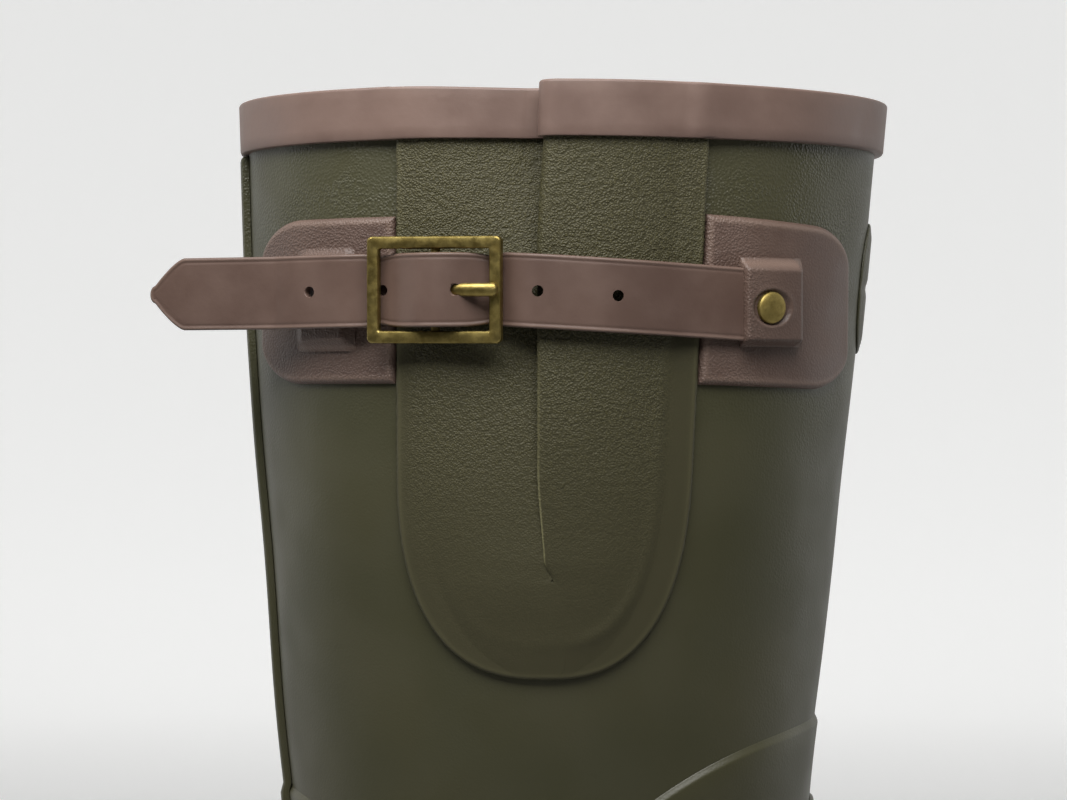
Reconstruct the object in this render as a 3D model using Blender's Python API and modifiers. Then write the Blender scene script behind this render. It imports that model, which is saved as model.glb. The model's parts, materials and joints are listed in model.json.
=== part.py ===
"""A right rubber country boot with a buckled gusset, modelled in metres.

+X is the toe, -Y the outer side, +Z up. The origin is the middle of the heel's ground face.
Every piece of the upper is cut from one surface, skin(), lofted through the rings of two tables.
"""
import bisect
import math
from collections import namedtuple

import bmesh
import bpy
from mathutils import Matrix, Vector

# Driving sizes of the boot
SOLE_LENGTH = 0.298
BALL_WIDTH = 0.098
INSTEP_HEIGHT = 0.102
BOOT_HEIGHT = 0.400
COLLAR_LENGTH = 0.159
COLLAR_WIDTH = 0.112
TOE_SWING = 0.008
SWING_START_SHARE = 0.20
SWING_SPAN_SHARE = 0.65
MEDIAL_WAIST_SHARE = 0.20
LATERAL_WAIST_SHARE = 0.10
WAIST_PLACE_SHARE = 0.42
WAIST_SPREAD_SHARE = 0.13
WALL = 0.0020
GAP = 0.0003

# Ankle reinforcement, a step in the wall whose top edge dips at the outer side
STEP_DEPTH = 0.0010
STEP_FRONT = 0.6225 * BOOT_HEIGHT
STEP_BACK = 0.590 * BOOT_HEIGHT
STEP_DIP = 0.075 * BOOT_HEIGHT
STEP_DIP_COSINE = -0.2
STEP_DIP_SHARE = 0.6
STEP_RAMP = 0.004

# Outsole
HEEL_TOP = 0.028
ARCH_TOP = 0.0235
FORE_TOP = 0.017
TOE_TOP = 0.028
TOE_SPRING = 0.010
HEEL_BREAST = 0.032
BREAST_HEIGHT = 0.012
BALL_START = 0.115
BALL_END = 0.185
RIM_HEIGHT = 0.010
RIM_WALL = 0.0026
SOLE_LEDGE = 0.0012
SOLE_STEP_HEIGHT = 0.011
LUG_DEPTH = 0.005
GROOVE_WIDTH = 0.0055
LUG_PITCH = 0.0150
CHEVRON = 0.009
FIRST_GROOVE = -0.020
CUTTER_DROP = 0.010
TOE_TIP_SHARE = 0.87

INSOLE_THICKNESS = 0.004

# Collar binding
BINDING_HEIGHT = 0.0125
BINDING_WALL = 0.0019
FOLD_WALL = 0.00115
PANEL_WALL_SHARE = 0.8
PANEL_CLEAR_TURN = 0.10
BINDING_TOP = 0.0015

# Gusset panel on the outer side
GUSSET_BOTTOM = BOOT_HEIGHT - 0.1385
GUSSET_MIDDLE = 0.1113 * COLLAR_LENGTH
GUSSET_REAR = 0.0344
GUSSET_FRONT = 0.0319
GUSSET_FLARE = 0.0066
GUSSET_ROUND = 0.0505
GUSSET_POWER = 2.6
GUSSET_MARGIN = 0.0070
GUSSET_SHEET = 0.0012
GUSSET_BULGE = 0.0022
PLEAT_X = GUSSET_MIDDLE - 0.0012
PLEAT_LEAN = 0.0019
PLEAT_LEAN_HEIGHT = 0.039
PLEAT_DEPTH = 0.025
PLEAT_SPREAD = 0.004

# Back strip and the pad on the front
STRIP_WIDTH = 0.013
STRIP_THICKNESS = 0.0019
PAD_WIDTH = 0.026
PAD_HEIGHT = 0.0325
PAD_MIDDLE = BOOT_HEIGHT - 0.0455
PAD_THICKNESS = 0.0010

# Instep guard
GUARD_TOP = 0.571 * BOOT_HEIGHT
GUARD_ROUND = 0.012
GUARD_LOW_ROW = 6
GUARD_STATIONS = 4
GUARD_THICKNESS = 0.0009

# Reinforcing patches beside the gusset
PATCH_THICKNESS = 0.0013
FRONT_PATCH_FAR = 0.569 * COLLAR_LENGTH
FRONT_PATCH_LOW = BOOT_HEIGHT - 0.0700
FRONT_PATCH_HIGH = BOOT_HEIGHT - 0.0307
FRONT_PATCH_CORNER = 0.0075
REAR_PATCH_FAR = -0.3145 * COLLAR_LENGTH
REAR_PATCH_LOW = BOOT_HEIGHT - 0.0695
REAR_PATCH_HIGH = BOOT_HEIGHT - 0.0304
REAR_PATCH_CORNER = 0.0095

# Strap, its tab and keeper
STRAP_WIDTH = 0.0168
STRAP_THICKNESS = 0.0018
STRAP_Z = BOOT_HEIGHT - 0.0477
STRAP_DROP = 0.0031
HOLE_PITCH = 0.0180
HOLE_DIAMETER = 0.0026
HOLES_FRONT = 2
HOLES_REAR = 2
TAIL_LENGTH = 0.0333
TAIL_ANGLE = 20.0
TIP_LENGTH = 0.0090
TAB_REAR = 0.3930 * COLLAR_LENGTH
TAB_FRONT = TAB_REAR + 0.0148
TAB_INSERT = 0.0060
TAB_HEIGHT = 0.0210
TAB_RAISE = 0.0006
TAB_COVER = 0.0016
KEEPER_FRONT = -0.1635 * COLLAR_LENGTH
KEEPER_REAR = KEEPER_FRONT - 0.0140
KEEPER_DROP = 0.0018
KEEPER_HEIGHT = 0.0245
KEEPER_COVER = 0.0011
BILLET_WIDTH = 0.0162
BILLET_THICKNESS = 0.0011

# Buckle
BUCKLE_X = -0.0408 * COLLAR_LENGTH
BUCKLE_LENGTH = 0.0323
BUCKLE_HEIGHT = 0.0248
BAR_WIDTH = 0.0029
BUCKLE_CORNER = 0.0013
OPENING_CORNER = 0.0004
BUCKLE_BEVEL = 0.0005
FRAME_THICKNESS = 0.0024
FRAME_LIFT = 0.0056
CENTRE_BAR_RADIUS = 0.0011
CENTRE_BAR_DROP = 0.0008
PRONG_RADIUS = 0.0011
PRONG_RING_WIDTH = 0.0030
PRONG_HOLE = 0.0052

# Rivet in the front tab
RIVET_X = TAB_REAR + 0.0057
RIVET_DROP = 0.0012
RIVET_DIAMETER = 0.0076
RIVET_DOME = 0.0011
RIVET_RECESS = 0.0007

STATIONS = 44
FOOT_ROWS_COUNT = 13
SHAFT_ROWS_COUNT = 7

# Columns: x of back and front, rise of back and front, half width, place of the widest station,
# powers of the front and back curves, and how far the ring follows the sole's top.
# Foot rings: x as shares of SOLE_LENGTH, rises of the instep's rise, half width of BALL_WIDTH.
FOOT_RINGS = (
    (-0.1385, 0.8456, 0.000, 0.000, 0.500, 0.70, 2.5, 2.4, 1.00),
    (-0.1395, 0.8440, 0.080, 0.090, 0.499, 0.70, 2.5, 2.4, 0.95),
    (-0.1419, 0.8260, 0.210, 0.270, 0.492, 0.69, 2.4, 2.4, 0.75),
    (-0.1426, 0.7700, 0.340, 0.455, 0.473, 0.66, 2.3, 2.3, 0.45),
    (-0.1409, 0.6650, 0.500, 0.600, 0.447, 0.60, 2.2, 2.3, 0.20),
    (-0.1359, 0.5230, 0.720, 0.790, 0.418, 0.52, 2.15, 2.2, 0.05),
    (-0.1292, 0.4080, 0.973, 1.000, 0.400, 0.47, 2.1, 2.2, 0.00),
)
# Shaft rings: x as shares of COLLAR_LENGTH, rises of the shaft's rise, half width of COLLAR_WIDTH.
SHAFT_RINGS = (
    (-0.2327, 0.6170, 0.067, 0.074, 0.3527, 0.46, 2.1, 2.1, 0.0),
    (-0.2358, 0.5420, 0.161, 0.185, 0.3705, 0.48, 2.1, 2.1, 0.0),
    (-0.2640, 0.5130, 0.329, 0.329, 0.4107, 0.49, 2.1, 2.1, 0.0),
    (-0.3020, 0.5470, 0.547, 0.547, 0.4554, 0.50, 2.1, 2.1, 0.0),
    (-0.3400, 0.6006, 0.799, 0.799, 0.4866, 0.50, 2.1, 2.1, 0.0),
    (-0.3540, 0.6365, 1.000, 1.000, 0.5000, 0.50, 2.1, 2.1, 0.0),
)
# Columns: station as a share of SOLE_LENGTH, height of the sole's top there
SOLE_TOP_ROWS = (
    (-0.160, HEEL_TOP), (0.080, HEEL_TOP), (0.180, HEEL_TOP - 0.2 * (HEEL_TOP - ARCH_TOP)),
    (0.300, ARCH_TOP), (0.480, FORE_TOP), (0.620, FORE_TOP), (0.740, 0.75 * FORE_TOP + 0.25 * TOE_TOP),
    (0.870, TOE_TOP),
)
# Pleat, columns: share of the panel's height, how far it is folded (0 flat, 1 folded),
# depth as a share of PLEAT_DEPTH, layer pitch as a share of the collar's, lift as a share of the bulge
PLEAT_ROWS = (
    (0.00, 0.00, 0.12, 0.36, 0.00),
    (0.10, 0.00, 0.12, 0.36, 0.50),
    (0.17, 0.35, 0.12, 0.36, 0.80),
    (0.27, 1.00, 0.22, 0.36, 0.90),
    (0.57, 1.00, 0.60, 0.45, 0.70),
    (0.90, 1.00, 0.95, 1.00, -0.45),
    (1.00, 1.00, 1.00, 1.00, -0.45),
)

Ring = namedtuple("Ring", "back front back_rise front_rise half widest front_power back_power follow")


def smooth(knots, rows, value):
    """Row of a table at a value of its knots, on a smooth curve through all rows."""
    last = len(knots) - 1
    k = min(max(bisect.bisect_right(knots, value) - 1, 0), last - 1)
    span = knots[k + 1] - knots[k]
    t = min(max((value - knots[k]) / span, 0.0), 1.0)

    def slope(i, column):
        low, high = max(i - 1, 0), min(i + 1, last)
        return (rows[high][column] - rows[low][column]) / (knots[high] - knots[low])

    weights = (2 * t**3 - 3 * t**2 + 1, t**3 - 2 * t**2 + t, 3 * t**2 - 2 * t**3, t**3 - t**2)
    result = []
    for column in range(len(rows[0])):
        ends = (rows[k][column], slope(k, column) * span, rows[k + 1][column], slope(k + 1, column) * span)
        result.append(sum(w * e for w, e in zip(weights, ends)))
    return result


def ease(t):
    t = min(max(t, 0.0), 1.0)
    return t * t * (3 - 2 * t)


def sole_top(x):
    knots = [row[0] for row in SOLE_TOP_ROWS]
    return smooth(knots, [row[1:] for row in SOLE_TOP_ROWS], x / SOLE_LENGTH)[0]


def real_rings():
    """Both tables in metres, with rises measured from the heel's top."""
    instep_rise = INSTEP_HEIGHT - HEEL_TOP
    shaft_rise = BOOT_HEIGHT - INSTEP_HEIGHT
    rings = []
    for back, front, back_rise, front_rise, half, *rest in FOOT_RINGS:
        rings.append((back * SOLE_LENGTH, front * SOLE_LENGTH, back_rise * instep_rise,
                      front_rise * instep_rise, half * BALL_WIDTH, *rest))
    for back, front, back_rise, front_rise, half, *rest in SHAFT_RINGS:
        rings.append((back * COLLAR_LENGTH, front * COLLAR_LENGTH, instep_rise + back_rise * shaft_rise,
                      instep_rise + front_rise * shaft_rise, half * COLLAR_WIDTH, *rest))
    return rings


def ring_knots(rings):
    """Distance up the boot to each ring, from 0 at the feather line to 1 at the collar."""
    knots = [0.0]
    for low, high in zip(rings, rings[1:]):
        back = math.hypot(high[0] - low[0], high[2] - low[2])
        front = math.hypot(high[1] - low[1], high[3] - low[3])
        knots.append(knots[-1] + (back + front) / 2)
    return [knot / knots[-1] for knot in knots]


RINGS = real_rings()
KNOTS = ring_knots(RINGS)


def ring_at(v):
    return Ring(*smooth(KNOTS, RINGS, v))


def ring_point(ring, theta):
    """Point of a ring; theta is 0 at the front, a quarter turn at the inner side, a half at the back."""
    length = ring.front - ring.back
    middle = ring.back + ring.widest * length
    c, s = math.cos(theta), math.sin(theta)
    power = ring.front_power if c >= 0 else ring.back_power
    reach = ring.front - middle if c >= 0 else middle - ring.back
    x = middle + math.copysign(abs(c) ** (2 / power), c) * reach
    y = math.copysign(abs(s) ** (2 / power), s) * ring.half
    share = (x - ring.back) / length
    dip = MEDIAL_WAIST_SHARE if s > 0 else LATERAL_WAIST_SHARE
    y *= 1 - ring.follow * dip * math.exp(-((share - WAIST_PLACE_SHARE) / WAIST_SPREAD_SHARE) ** 2)
    y += TOE_SWING * ease((x / SOLE_LENGTH - SWING_START_SHARE) / SWING_SPAN_SHARE)
    rise = ring.back_rise + (ring.front_rise - ring.back_rise) * share
    z = HEEL_TOP + ring.follow * (sole_top(x) - HEEL_TOP) + rise
    return Vector((x, y, z))


def skin(theta, v, out=0.0):
    """Point at a distance out of the smooth outer surface, without the step in the wall."""
    here = ring_point(ring_at(v), theta)
    if out == 0.0:
        return here
    turn, climb = 0.02, 0.004
    low, high = max(v - climb, 0.0), min(v + climb, 1.0)
    along = ring_point(ring_at(v), theta + turn) - ring_point(ring_at(v), theta - turn)
    up = ring_point(ring_at(high), theta) - ring_point(ring_at(low), theta)
    return here + along.cross(up).normalized() * out


def v_at(theta, z):
    """Height parameter where the surface reaches z at an angle."""
    low, high = 0.0, 1.0
    for _ in range(26):
        middle = (low + high) / 2
        if ring_point(ring_at(middle), theta).z < z:
            low = middle
        else:
            high = middle
    return (low + high) / 2


def theta_at(x, z):
    """Angle on the outer side where the surface has this x and z."""
    v = v_at(-math.pi / 2, z)
    theta = -math.pi / 2
    for _ in range(4):
        ring = ring_at(v)
        middle = ring.back + ring.widest * (ring.front - ring.back)
        if x >= middle:
            share = min((x - middle) / (ring.front - middle), 1.0)
            theta = -math.acos(share ** (ring.front_power / 2))
        else:
            share = min((middle - x) / (middle - ring.back), 1.0)
            theta = -math.acos(-(share ** (ring.back_power / 2)))
        v = v_at(theta, z)
    return theta, v


def side(x, z, out=0.0):
    """Point over the outer side at x and z."""
    theta, v = theta_at(x, z)
    return skin(theta, v, out)


def step_height(theta):
    """Height of the ankle reinforcement's top edge."""
    c = math.cos(theta)
    base = (STEP_FRONT + STEP_BACK) / 2 + c * (STEP_FRONT - STEP_BACK) / 2
    return base - STEP_DIP * math.exp(-((c - STEP_DIP_COSINE) / STEP_DIP_SHARE) ** 2)


def collection(name):
    group = bpy.data.collections.new(name)
    bpy.context.scene.collection.children.link(group)
    return group


def material(name, colour, roughness, metallic=0.0):
    made = bpy.data.materials.new(name)
    made.use_nodes = True
    shader = made.node_tree.nodes["Principled BSDF"]
    shader.inputs["Base Color"].default_value = (*colour, 1.0)
    shader.inputs["Roughness"].default_value = roughness
    shader.inputs["Metallic"].default_value = metallic
    return made


def from_bmesh(name, shape, look=None, group=None):
    mesh = bpy.data.meshes.new(name)
    bmesh.ops.recalc_face_normals(shape, faces=shape.faces)
    shape.to_mesh(mesh)
    shape.free()
    made = bpy.data.objects.new(name, mesh)
    (group or PARTS).objects.link(made)
    if look:
        mesh.materials.append(look)
        mesh.shade_smooth()
        mesh.set_sharp_from_angle(angle=math.radians(35))
    else:
        made.hide_render = True
        made.display_type = "WIRE"
    return made


def grid(name, rows, look, closed=False):
    """Open sheet through rows of points; closed joins each row's last point to its first."""
    shape = bmesh.new()
    lines = [[shape.verts.new(point) for point in row] for row in rows]
    count = len(lines[0])
    for low, high in zip(lines, lines[1:]):
        for i in range(count if closed else count - 1):
            j = (i + 1) % count
            shape.faces.new((low[i], low[j], high[j], high[i]))
    mesh = bpy.data.meshes.new(name)
    shape.to_mesh(mesh)
    shape.free()
    made = bpy.data.objects.new(name, mesh)
    PARTS.objects.link(made)
    mesh.materials.append(look)
    mesh.shade_smooth()
    mesh.set_sharp_from_angle(angle=math.radians(35))
    return made


def thicken(made, thickness, offset):
    solid = made.modifiers.new("wall", "SOLIDIFY")
    solid.thickness = thickness
    solid.offset = offset
    solid.use_even_offset = True
    return made


def loft(name, rings, look=None, around=True, group=None):
    """Closed solid through rings of equal count: around joins the last ring to the first, else ends are capped."""
    shape = bmesh.new()
    lines = [[shape.verts.new(point) for point in ring] for ring in rings]
    count = len(lines[0])
    pairs = list(zip(lines, lines[1:]))
    if around:
        pairs.append((lines[-1], lines[0]))
    for low, high in pairs:
        for i in range(count):
            j = (i + 1) % count
            shape.faces.new((low[i], low[j], high[j], high[i]))
    if not around:
        for line in (lines[0], lines[-1]):
            cap_across(shape, line)
    return from_bmesh(name, shape, look, group)


def cap_across(shape, line):
    """Close a ring with strips that join points mirrored about its first and middle point."""
    count = len(line)
    half = count // 2
    for i in range(half):
        near, far = line[i], line[i + 1]
        other_near, other_far = line[-i % count], line[(count - i - 1) % count]
        corners = [near, far, other_far, other_near]
        unique = [corner for k, corner in enumerate(corners) if corner not in corners[:k]]
        shape.faces.new(unique)


def prism(name, outline, direction, group=None, look=None):
    """Solid swept from a flat outline along a vector."""
    shape = bmesh.new()
    face = shape.faces.new([shape.verts.new(point) for point in outline])
    swept = bmesh.ops.extrude_face_region(shape, geom=[face])
    moved = [item for item in swept["geom"] if isinstance(item, bmesh.types.BMVert)]
    bmesh.ops.translate(shape, verts=moved, vec=direction)
    return from_bmesh(name, shape, look, group)


def combine(made, tool, operation="DIFFERENCE"):
    cut = made.modifiers.new(operation.lower(), "BOOLEAN")
    cut.operation = operation
    cut.object = tool
    cut.solver = "EXACT"
    return made


def angles():
    return [2 * math.pi * i / STATIONS for i in range(STATIONS)]


RIM_ROOM = BINDING_TOP + GAP
RIM_Z = BOOT_HEIGHT - RIM_ROOM
BINDING_LOW = BOOT_HEIGHT - BINDING_HEIGHT


def gusset_edges(z):
    """x of the panel's rear and front edge at a height."""
    rise = (z - GUSSET_BOTTOM) / (BOOT_HEIGHT - GUSSET_BOTTOM)
    ratio = min(max((GUSSET_BOTTOM + GUSSET_ROUND - z) / GUSSET_ROUND, 0.0), 1.0)
    shape = (1 - ratio**GUSSET_POWER) ** (1 / GUSSET_POWER)
    rear = GUSSET_MIDDLE - GUSSET_REAR * shape
    front = GUSSET_MIDDLE + (GUSSET_FRONT + GUSSET_FLARE * rise) * shape
    return rear, front


def collar_pitch():
    return GUSSET_SHEET + 2 * (GAP + FOLD_WALL) + GAP


def pleat_x(z):
    """x of the pleat's front edge, which leans forward under the collar."""
    return PLEAT_X + PLEAT_LEAN * ease(1 - (BOOT_HEIGHT - z) / PLEAT_LEAN_HEIGHT)


def pleat_at(z):
    share = (z - GUSSET_BOTTOM) / (BOOT_HEIGHT - GUSSET_BOTTOM)
    k = min(max(bisect.bisect_right([row[0] for row in PLEAT_ROWS], share) - 1, 0), len(PLEAT_ROWS) - 2)
    low, high = PLEAT_ROWS[k], PLEAT_ROWS[k + 1]
    t = min(max((share - low[0]) / (high[0] - low[0]), 0.0), 1.0)
    folded, depth, pitch, lift = (a + (b - a) * t for a, b in zip(low[1:], high[1:]))
    return folded, depth * PLEAT_DEPTH, pitch * collar_pitch(), lift * GUSSET_BULGE


def rise_over(share, lift, base):
    """Height of the sheet between its margin, share 0, and the pleat, share 1."""
    quick = 1 - max(1 - share, 0.0) ** 2.2
    return base + max(lift - base, 0.0) * quick + min(lift - base, 0.0) * share


def gusset_section(z):
    """(x, height) of the middle of the gusset's sheet, from its rear edge, through the pleat, to the front."""
    base = GAP + GUSSET_SHEET / 2
    rear, front = gusset_edges(z)
    folded, depth, pitch, lift = pleat_at(z)
    width = front - rear
    margin = min(GUSSET_MARGIN, 0.22 * width)
    spread = min(PLEAT_SPREAD, 0.12 * width)
    pleat = min(max(pleat_x(z), rear + 0.4 * width), front - 0.4 * width)
    rear_in, front_in = rear + margin, front - margin
    half_stack = pitch * folded
    front_lift = base + lift + half_stack
    rear_lift = base + lift - half_stack

    def over_front(x):
        return rise_over((front_in - x) / (front_in - pleat), front_lift, base)

    section = [(rear, base), (rear + margin * 0.92, base)]
    rear_end = pleat - spread - 0.001
    for share in (0.16, 0.5, 0.8):
        x = rear_in + (rear_end - rear_in) * share
        section.append((x, rise_over(share, rear_lift, base)))
    section.append((rear_end, rear_lift))
    flat = [pleat + spread * (2 * i / 11 - 1) for i in range(12)]
    deep = pleat + depth
    radius = pitch / 2
    fold = [(pleat + depth * 0.5, 2.0)]
    for turn in (-90, -45, 0, 45, 90):
        angle = math.radians(turn)
        fold.append((deep - radius + radius * math.cos(angle), 1.5 - 0.5 * math.sin(angle)))
    fold.append((pleat + depth * 0.5, 1.0))
    for turn in (-90, -45, 0, 45, 90):
        angle = math.radians(turn)
        fold.append((pleat + radius - radius * math.cos(angle), 0.5 - 0.5 * math.sin(angle)))
    for flat_x, (x, layers) in zip(flat, fold):
        height = over_front(x) - layers * pitch
        section.append((flat_x + (x - flat_x) * folded, base + lift + (height - base - lift) * folded))
    front_start = pleat + radius * folded + spread * (1 - folded)
    for share in (0.2, 0.45, 0.7, 0.88):
        x = front_start + (front_in - front_start) * share
        section.append((x, over_front(x)))
    section += [(front - margin * 0.92, base), (front, base)]
    return section


def foot_share(row):
    """Share of the way from the feather line to the ankle step for a row of the upper."""
    return (row / FOOT_ROWS_COUNT) ** 1.25


def make_upper(look):
    """Hollow shaft and foot, with the ankle step in the wall and the cut-out under the gusset."""
    rows = []
    tops = [v_at(theta, RIM_Z) for theta in angles()]
    steps = [v_at(theta, step_height(theta)) for theta in angles()]
    ramps = [v_at(theta, step_height(theta) + STEP_RAMP) for theta in angles()]
    for k in range(FOOT_ROWS_COUNT + 1):
        share = foot_share(k)
        rows.append([skin(theta, step * share, STEP_DEPTH * ease(share * 12))
                     for theta, step in zip(angles(), steps)])
    for k in range(SHAFT_ROWS_COUNT + 1):
        share = k / SHAFT_ROWS_COUNT
        rows.append([skin(theta, ramp + (top - ramp) * share)
                     for theta, ramp, top in zip(angles(), ramps, tops)])
    upper = thicken(grid("upper", rows, look, closed=True), WALL, -1)
    heights = [GUSSET_BOTTOM + GUSSET_MARGIN + (BOOT_HEIGHT - GUSSET_BOTTOM) * share
               for share in (0.0, 0.02, 0.06, 0.12, 0.2, 0.3, 0.5, 0.75, 1.0)]
    rear_line, front_line = [], []
    for z in heights:
        rear, front = gusset_edges(z)
        rear_line.append(Vector((rear + GUSSET_MARGIN, -COLLAR_WIDTH, z)))
        front_line.append(Vector((front - GUSSET_MARGIN, -COLLAR_WIDTH, z)))
    outline = front_line + rear_line[::-1]
    window = prism("gusset_window", outline, Vector((0, COLLAR_WIDTH, 0)), CUTTERS)
    return combine(upper, window)


def make_gusset(look):
    shares = (0.004, 0.012, 0.03, 0.06, 0.10, 0.15, 0.20, 0.27, 0.36, 0.48, 0.60, 0.72, 0.83)
    span = BOOT_HEIGHT - GUSSET_BOTTOM
    heights = [GUSSET_BOTTOM + share * span for share in shares] + [BINDING_LOW, RIM_Z]
    rows = [[side(x, z, height) for x, height in gusset_section(z)] for z in heights]
    return thicken(grid("gusset", rows, look), GUSSET_SHEET, 0)


def binding_path(z):
    """(point, half slot, wall) round the collar at a height, through the pleat's folds."""
    section = gusset_section(z)
    rear, front = gusset_edges(z)
    thin = GUSSET_SHEET / 2
    stack_half = (WALL + GAP + GUSSET_SHEET) / 2
    stack_middle = GAP + GUSSET_SHEET - stack_half
    panel_wall = BINDING_WALL * PANEL_WALL_SHARE
    path = []
    for x in (rear - 0.001, rear + GUSSET_MARGIN * 0.5, rear + GUSSET_MARGIN + 0.001):
        path.append((side(x, z, stack_middle), stack_half, panel_wall))
    for x, height in section[3:-3]:
        path.append((side(x, z, height), thin, FOLD_WALL))
    for x in (front - GUSSET_MARGIN - 0.001, front - GUSSET_MARGIN * 0.5, front + 0.001):
        path.append((side(x, z, stack_middle), stack_half, panel_wall))
    start = theta_at(front, z)[0] + 2 * math.pi
    end = theta_at(rear, z)[0] + 2 * math.pi
    turns = [theta + (2 * math.pi if theta < end else 0) for theta in angles()]
    for turn in sorted(turns):
        if start + PANEL_CLEAR_TURN < turn < end + 2 * math.pi - PANEL_CLEAR_TURN:
            path.append((skin(turn, v_at(turn, z), -WALL / 2), WALL / 2, BINDING_WALL))
    return path


def make_binding(look):
    """Channel folded over the rims of upper and gusset."""
    levels = {}
    for z in (BINDING_LOW, BOOT_HEIGHT - 0.0001):
        path = binding_path(z)
        count = len(path)
        rows = []
        for i, (point, half, wall) in enumerate(path):
            tangent = path[(i + 1) % count][0] - path[i - 1][0]
            normal = Vector((tangent.y, -tangent.x, 0)).normalized()
            inner = half + GAP
            outer = inner + wall
            rows.append([point + normal * reach for reach in (outer, inner, -inner, -outer)])
        levels[z] = rows
    low, high = levels.values()
    sections = []
    slot_top = BOOT_HEIGHT - BINDING_TOP
    for a, b in zip(low, high):
        def at(source, column, z):
            return Vector((source[column].x, source[column].y, z))
        sections.append([at(a, 0, BINDING_LOW), at(b, 0, BOOT_HEIGHT), at(b, 3, BOOT_HEIGHT), at(a, 3, BINDING_LOW),
                         at(a, 2, BINDING_LOW), at(b, 2, slot_top), at(b, 1, slot_top), at(a, 1, BINDING_LOW)])
    return loft("top_binding", sections, look)


def make_strip(look):
    """Strip down the back seam, over the ankle step."""
    top = BINDING_LOW - GAP
    bottom = sole_top(-0.14 * SOLE_LENGTH) + RIM_HEIGHT + 2 * GAP
    half_turn = STRIP_WIDTH / COLLAR_WIDTH
    rows = []
    edge = step_height(math.pi)
    heights = [bottom + (edge - bottom) * k / 13 for k in range(14)]
    heights += [edge + STEP_RAMP + (top - edge - STEP_RAMP) * k / 5 for k in range(6)]
    for z in heights:
        lift = GAP + (STEP_DEPTH if z <= edge else 0.0)
        row = []
        for share in (-1, -0.5, 0, 0.5, 1):
            theta = math.pi + share * half_turn
            row.append(skin(theta, v_at(theta, z), lift))
        rows.append(row)
    return thicken(grid("back_strip", rows, look), STRIP_THICKNESS, 1)


def oval_share(k, count):
    return -math.cos(math.pi * k / count)


def make_pad(look):
    """Plain raised pad on the front of the shaft."""
    rows = []
    for k in range(1, 10):
        level = oval_share(k, 10)
        z = PAD_MIDDLE + level * PAD_HEIGHT / 2
        reach = (1 - abs(level) ** 2.6) ** (1 / 2.6) * PAD_WIDTH / COLLAR_WIDTH
        thetas = [reach * share for share in (-1, -0.75, -0.4, 0, 0.4, 0.75, 1)]
        rows.append([skin(theta, v_at(theta, z), GAP) for theta in thetas])
    return thicken(grid("front_pad", rows, look), PAD_THICKNESS, 1)


def make_guard(look):
    """Low overlay on the front of the ankle and the instep, on the upper's own rows and stations."""
    rows = []
    for k in list(range(GUARD_LOW_ROW, FOOT_ROWS_COUNT)) + [None]:
        row = []
        for station in range(-GUARD_STATIONS, GUARD_STATIONS + 1):
            theta = 2 * math.pi * station / STATIONS
            top_v = v_at(theta, GUARD_TOP - GUARD_ROUND * (station / GUARD_STATIONS) ** 2)
            v = top_v if k is None else min(v_at(theta, step_height(theta)) * foot_share(k), top_v - 0.004)
            row.append(skin(theta, v, STEP_DEPTH + GAP))
        rows.append(row)
    return thicken(grid("instep_guard", rows, look), GUARD_THICKNESS, 1)


def rounded_end(level, corner, height):
    """How much a patch's end draws in near its top and bottom, level -1 to 1."""
    distance = (1 - abs(level)) * height / 2
    if distance >= corner:
        return 0.0
    return corner - math.sqrt(corner**2 - (corner - distance) ** 2)


def make_patch(name, front, low, high, far, corner, look):
    """Rounded patch from the gusset's edge to a far edge in front of it or behind it."""
    rows = []
    count = 10
    height = high - low
    for k in range(count + 1):
        level = -math.cos(math.pi * k / count)
        z = (low + high) / 2 + level * height / 2
        edge = gusset_edges(z)[1 if front else 0] + (GAP if front else -GAP)
        draw = rounded_end(level * 0.995, corner, height)
        end = far - draw if front else far + draw
        ordered = (edge, end) if front else (end, edge)
        turns = [theta_at(x, z)[0] for x in ordered]
        row = []
        for i in range(9):
            theta = turns[0] + (turns[1] - turns[0]) * i / 8
            row.append(skin(theta, v_at(theta, z), GAP))
        rows.append(row)
    return thicken(grid(name, rows, look), PATCH_THICKNESS, 1)


def block(name, x0, x1, z0, z1, low, high, look=None, group=None, taper=0.0):
    """Raised block on the outer side between two heights over the skin, its far face drawn in by taper."""
    inner, outer = [], []
    steps = 4
    for level, ring, draw in ((low, inner, 0.0), (high, outer, taper)):
        xs = [x0 + draw + (x1 - x0 - 2 * draw) * i / steps for i in range(steps + 1)]
        zs = [z0 + draw + (z1 - z0 - 2 * draw) * i / 2 for i in range(3)]
        ring += [side(x, zs[0], level) for x in xs]
        ring += [side(xs[-1], zs[1], level)]
        ring += [side(x, zs[2], level) for x in reversed(xs)]
        ring += [side(xs[0], zs[1], level)]
    shape = bmesh.new()
    lines = [[shape.verts.new(point) for point in ring] for ring in (inner, outer)]
    count = len(inner)
    for i in range(count):
        j = (i + 1) % count
        shape.faces.new((lines[0][i], lines[0][j], lines[1][j], lines[1][i]))
    for line in lines:
        bottom, right, top, left = line[:steps + 1], line[steps + 1], line[steps + 2:-1], line[-1]
        top = top[::-1]
        for i in range(steps):
            corners = [bottom[i], bottom[i + 1], top[i + 1], top[i]]
            if i == 0:
                corners.append(left)
            if i == steps - 1:
                corners.insert(2, right)
            shape.faces.new(corners)
    bmesh.ops.triangulate(shape, faces=shape.faces)
    return from_bmesh(name, shape, look, group)


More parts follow.
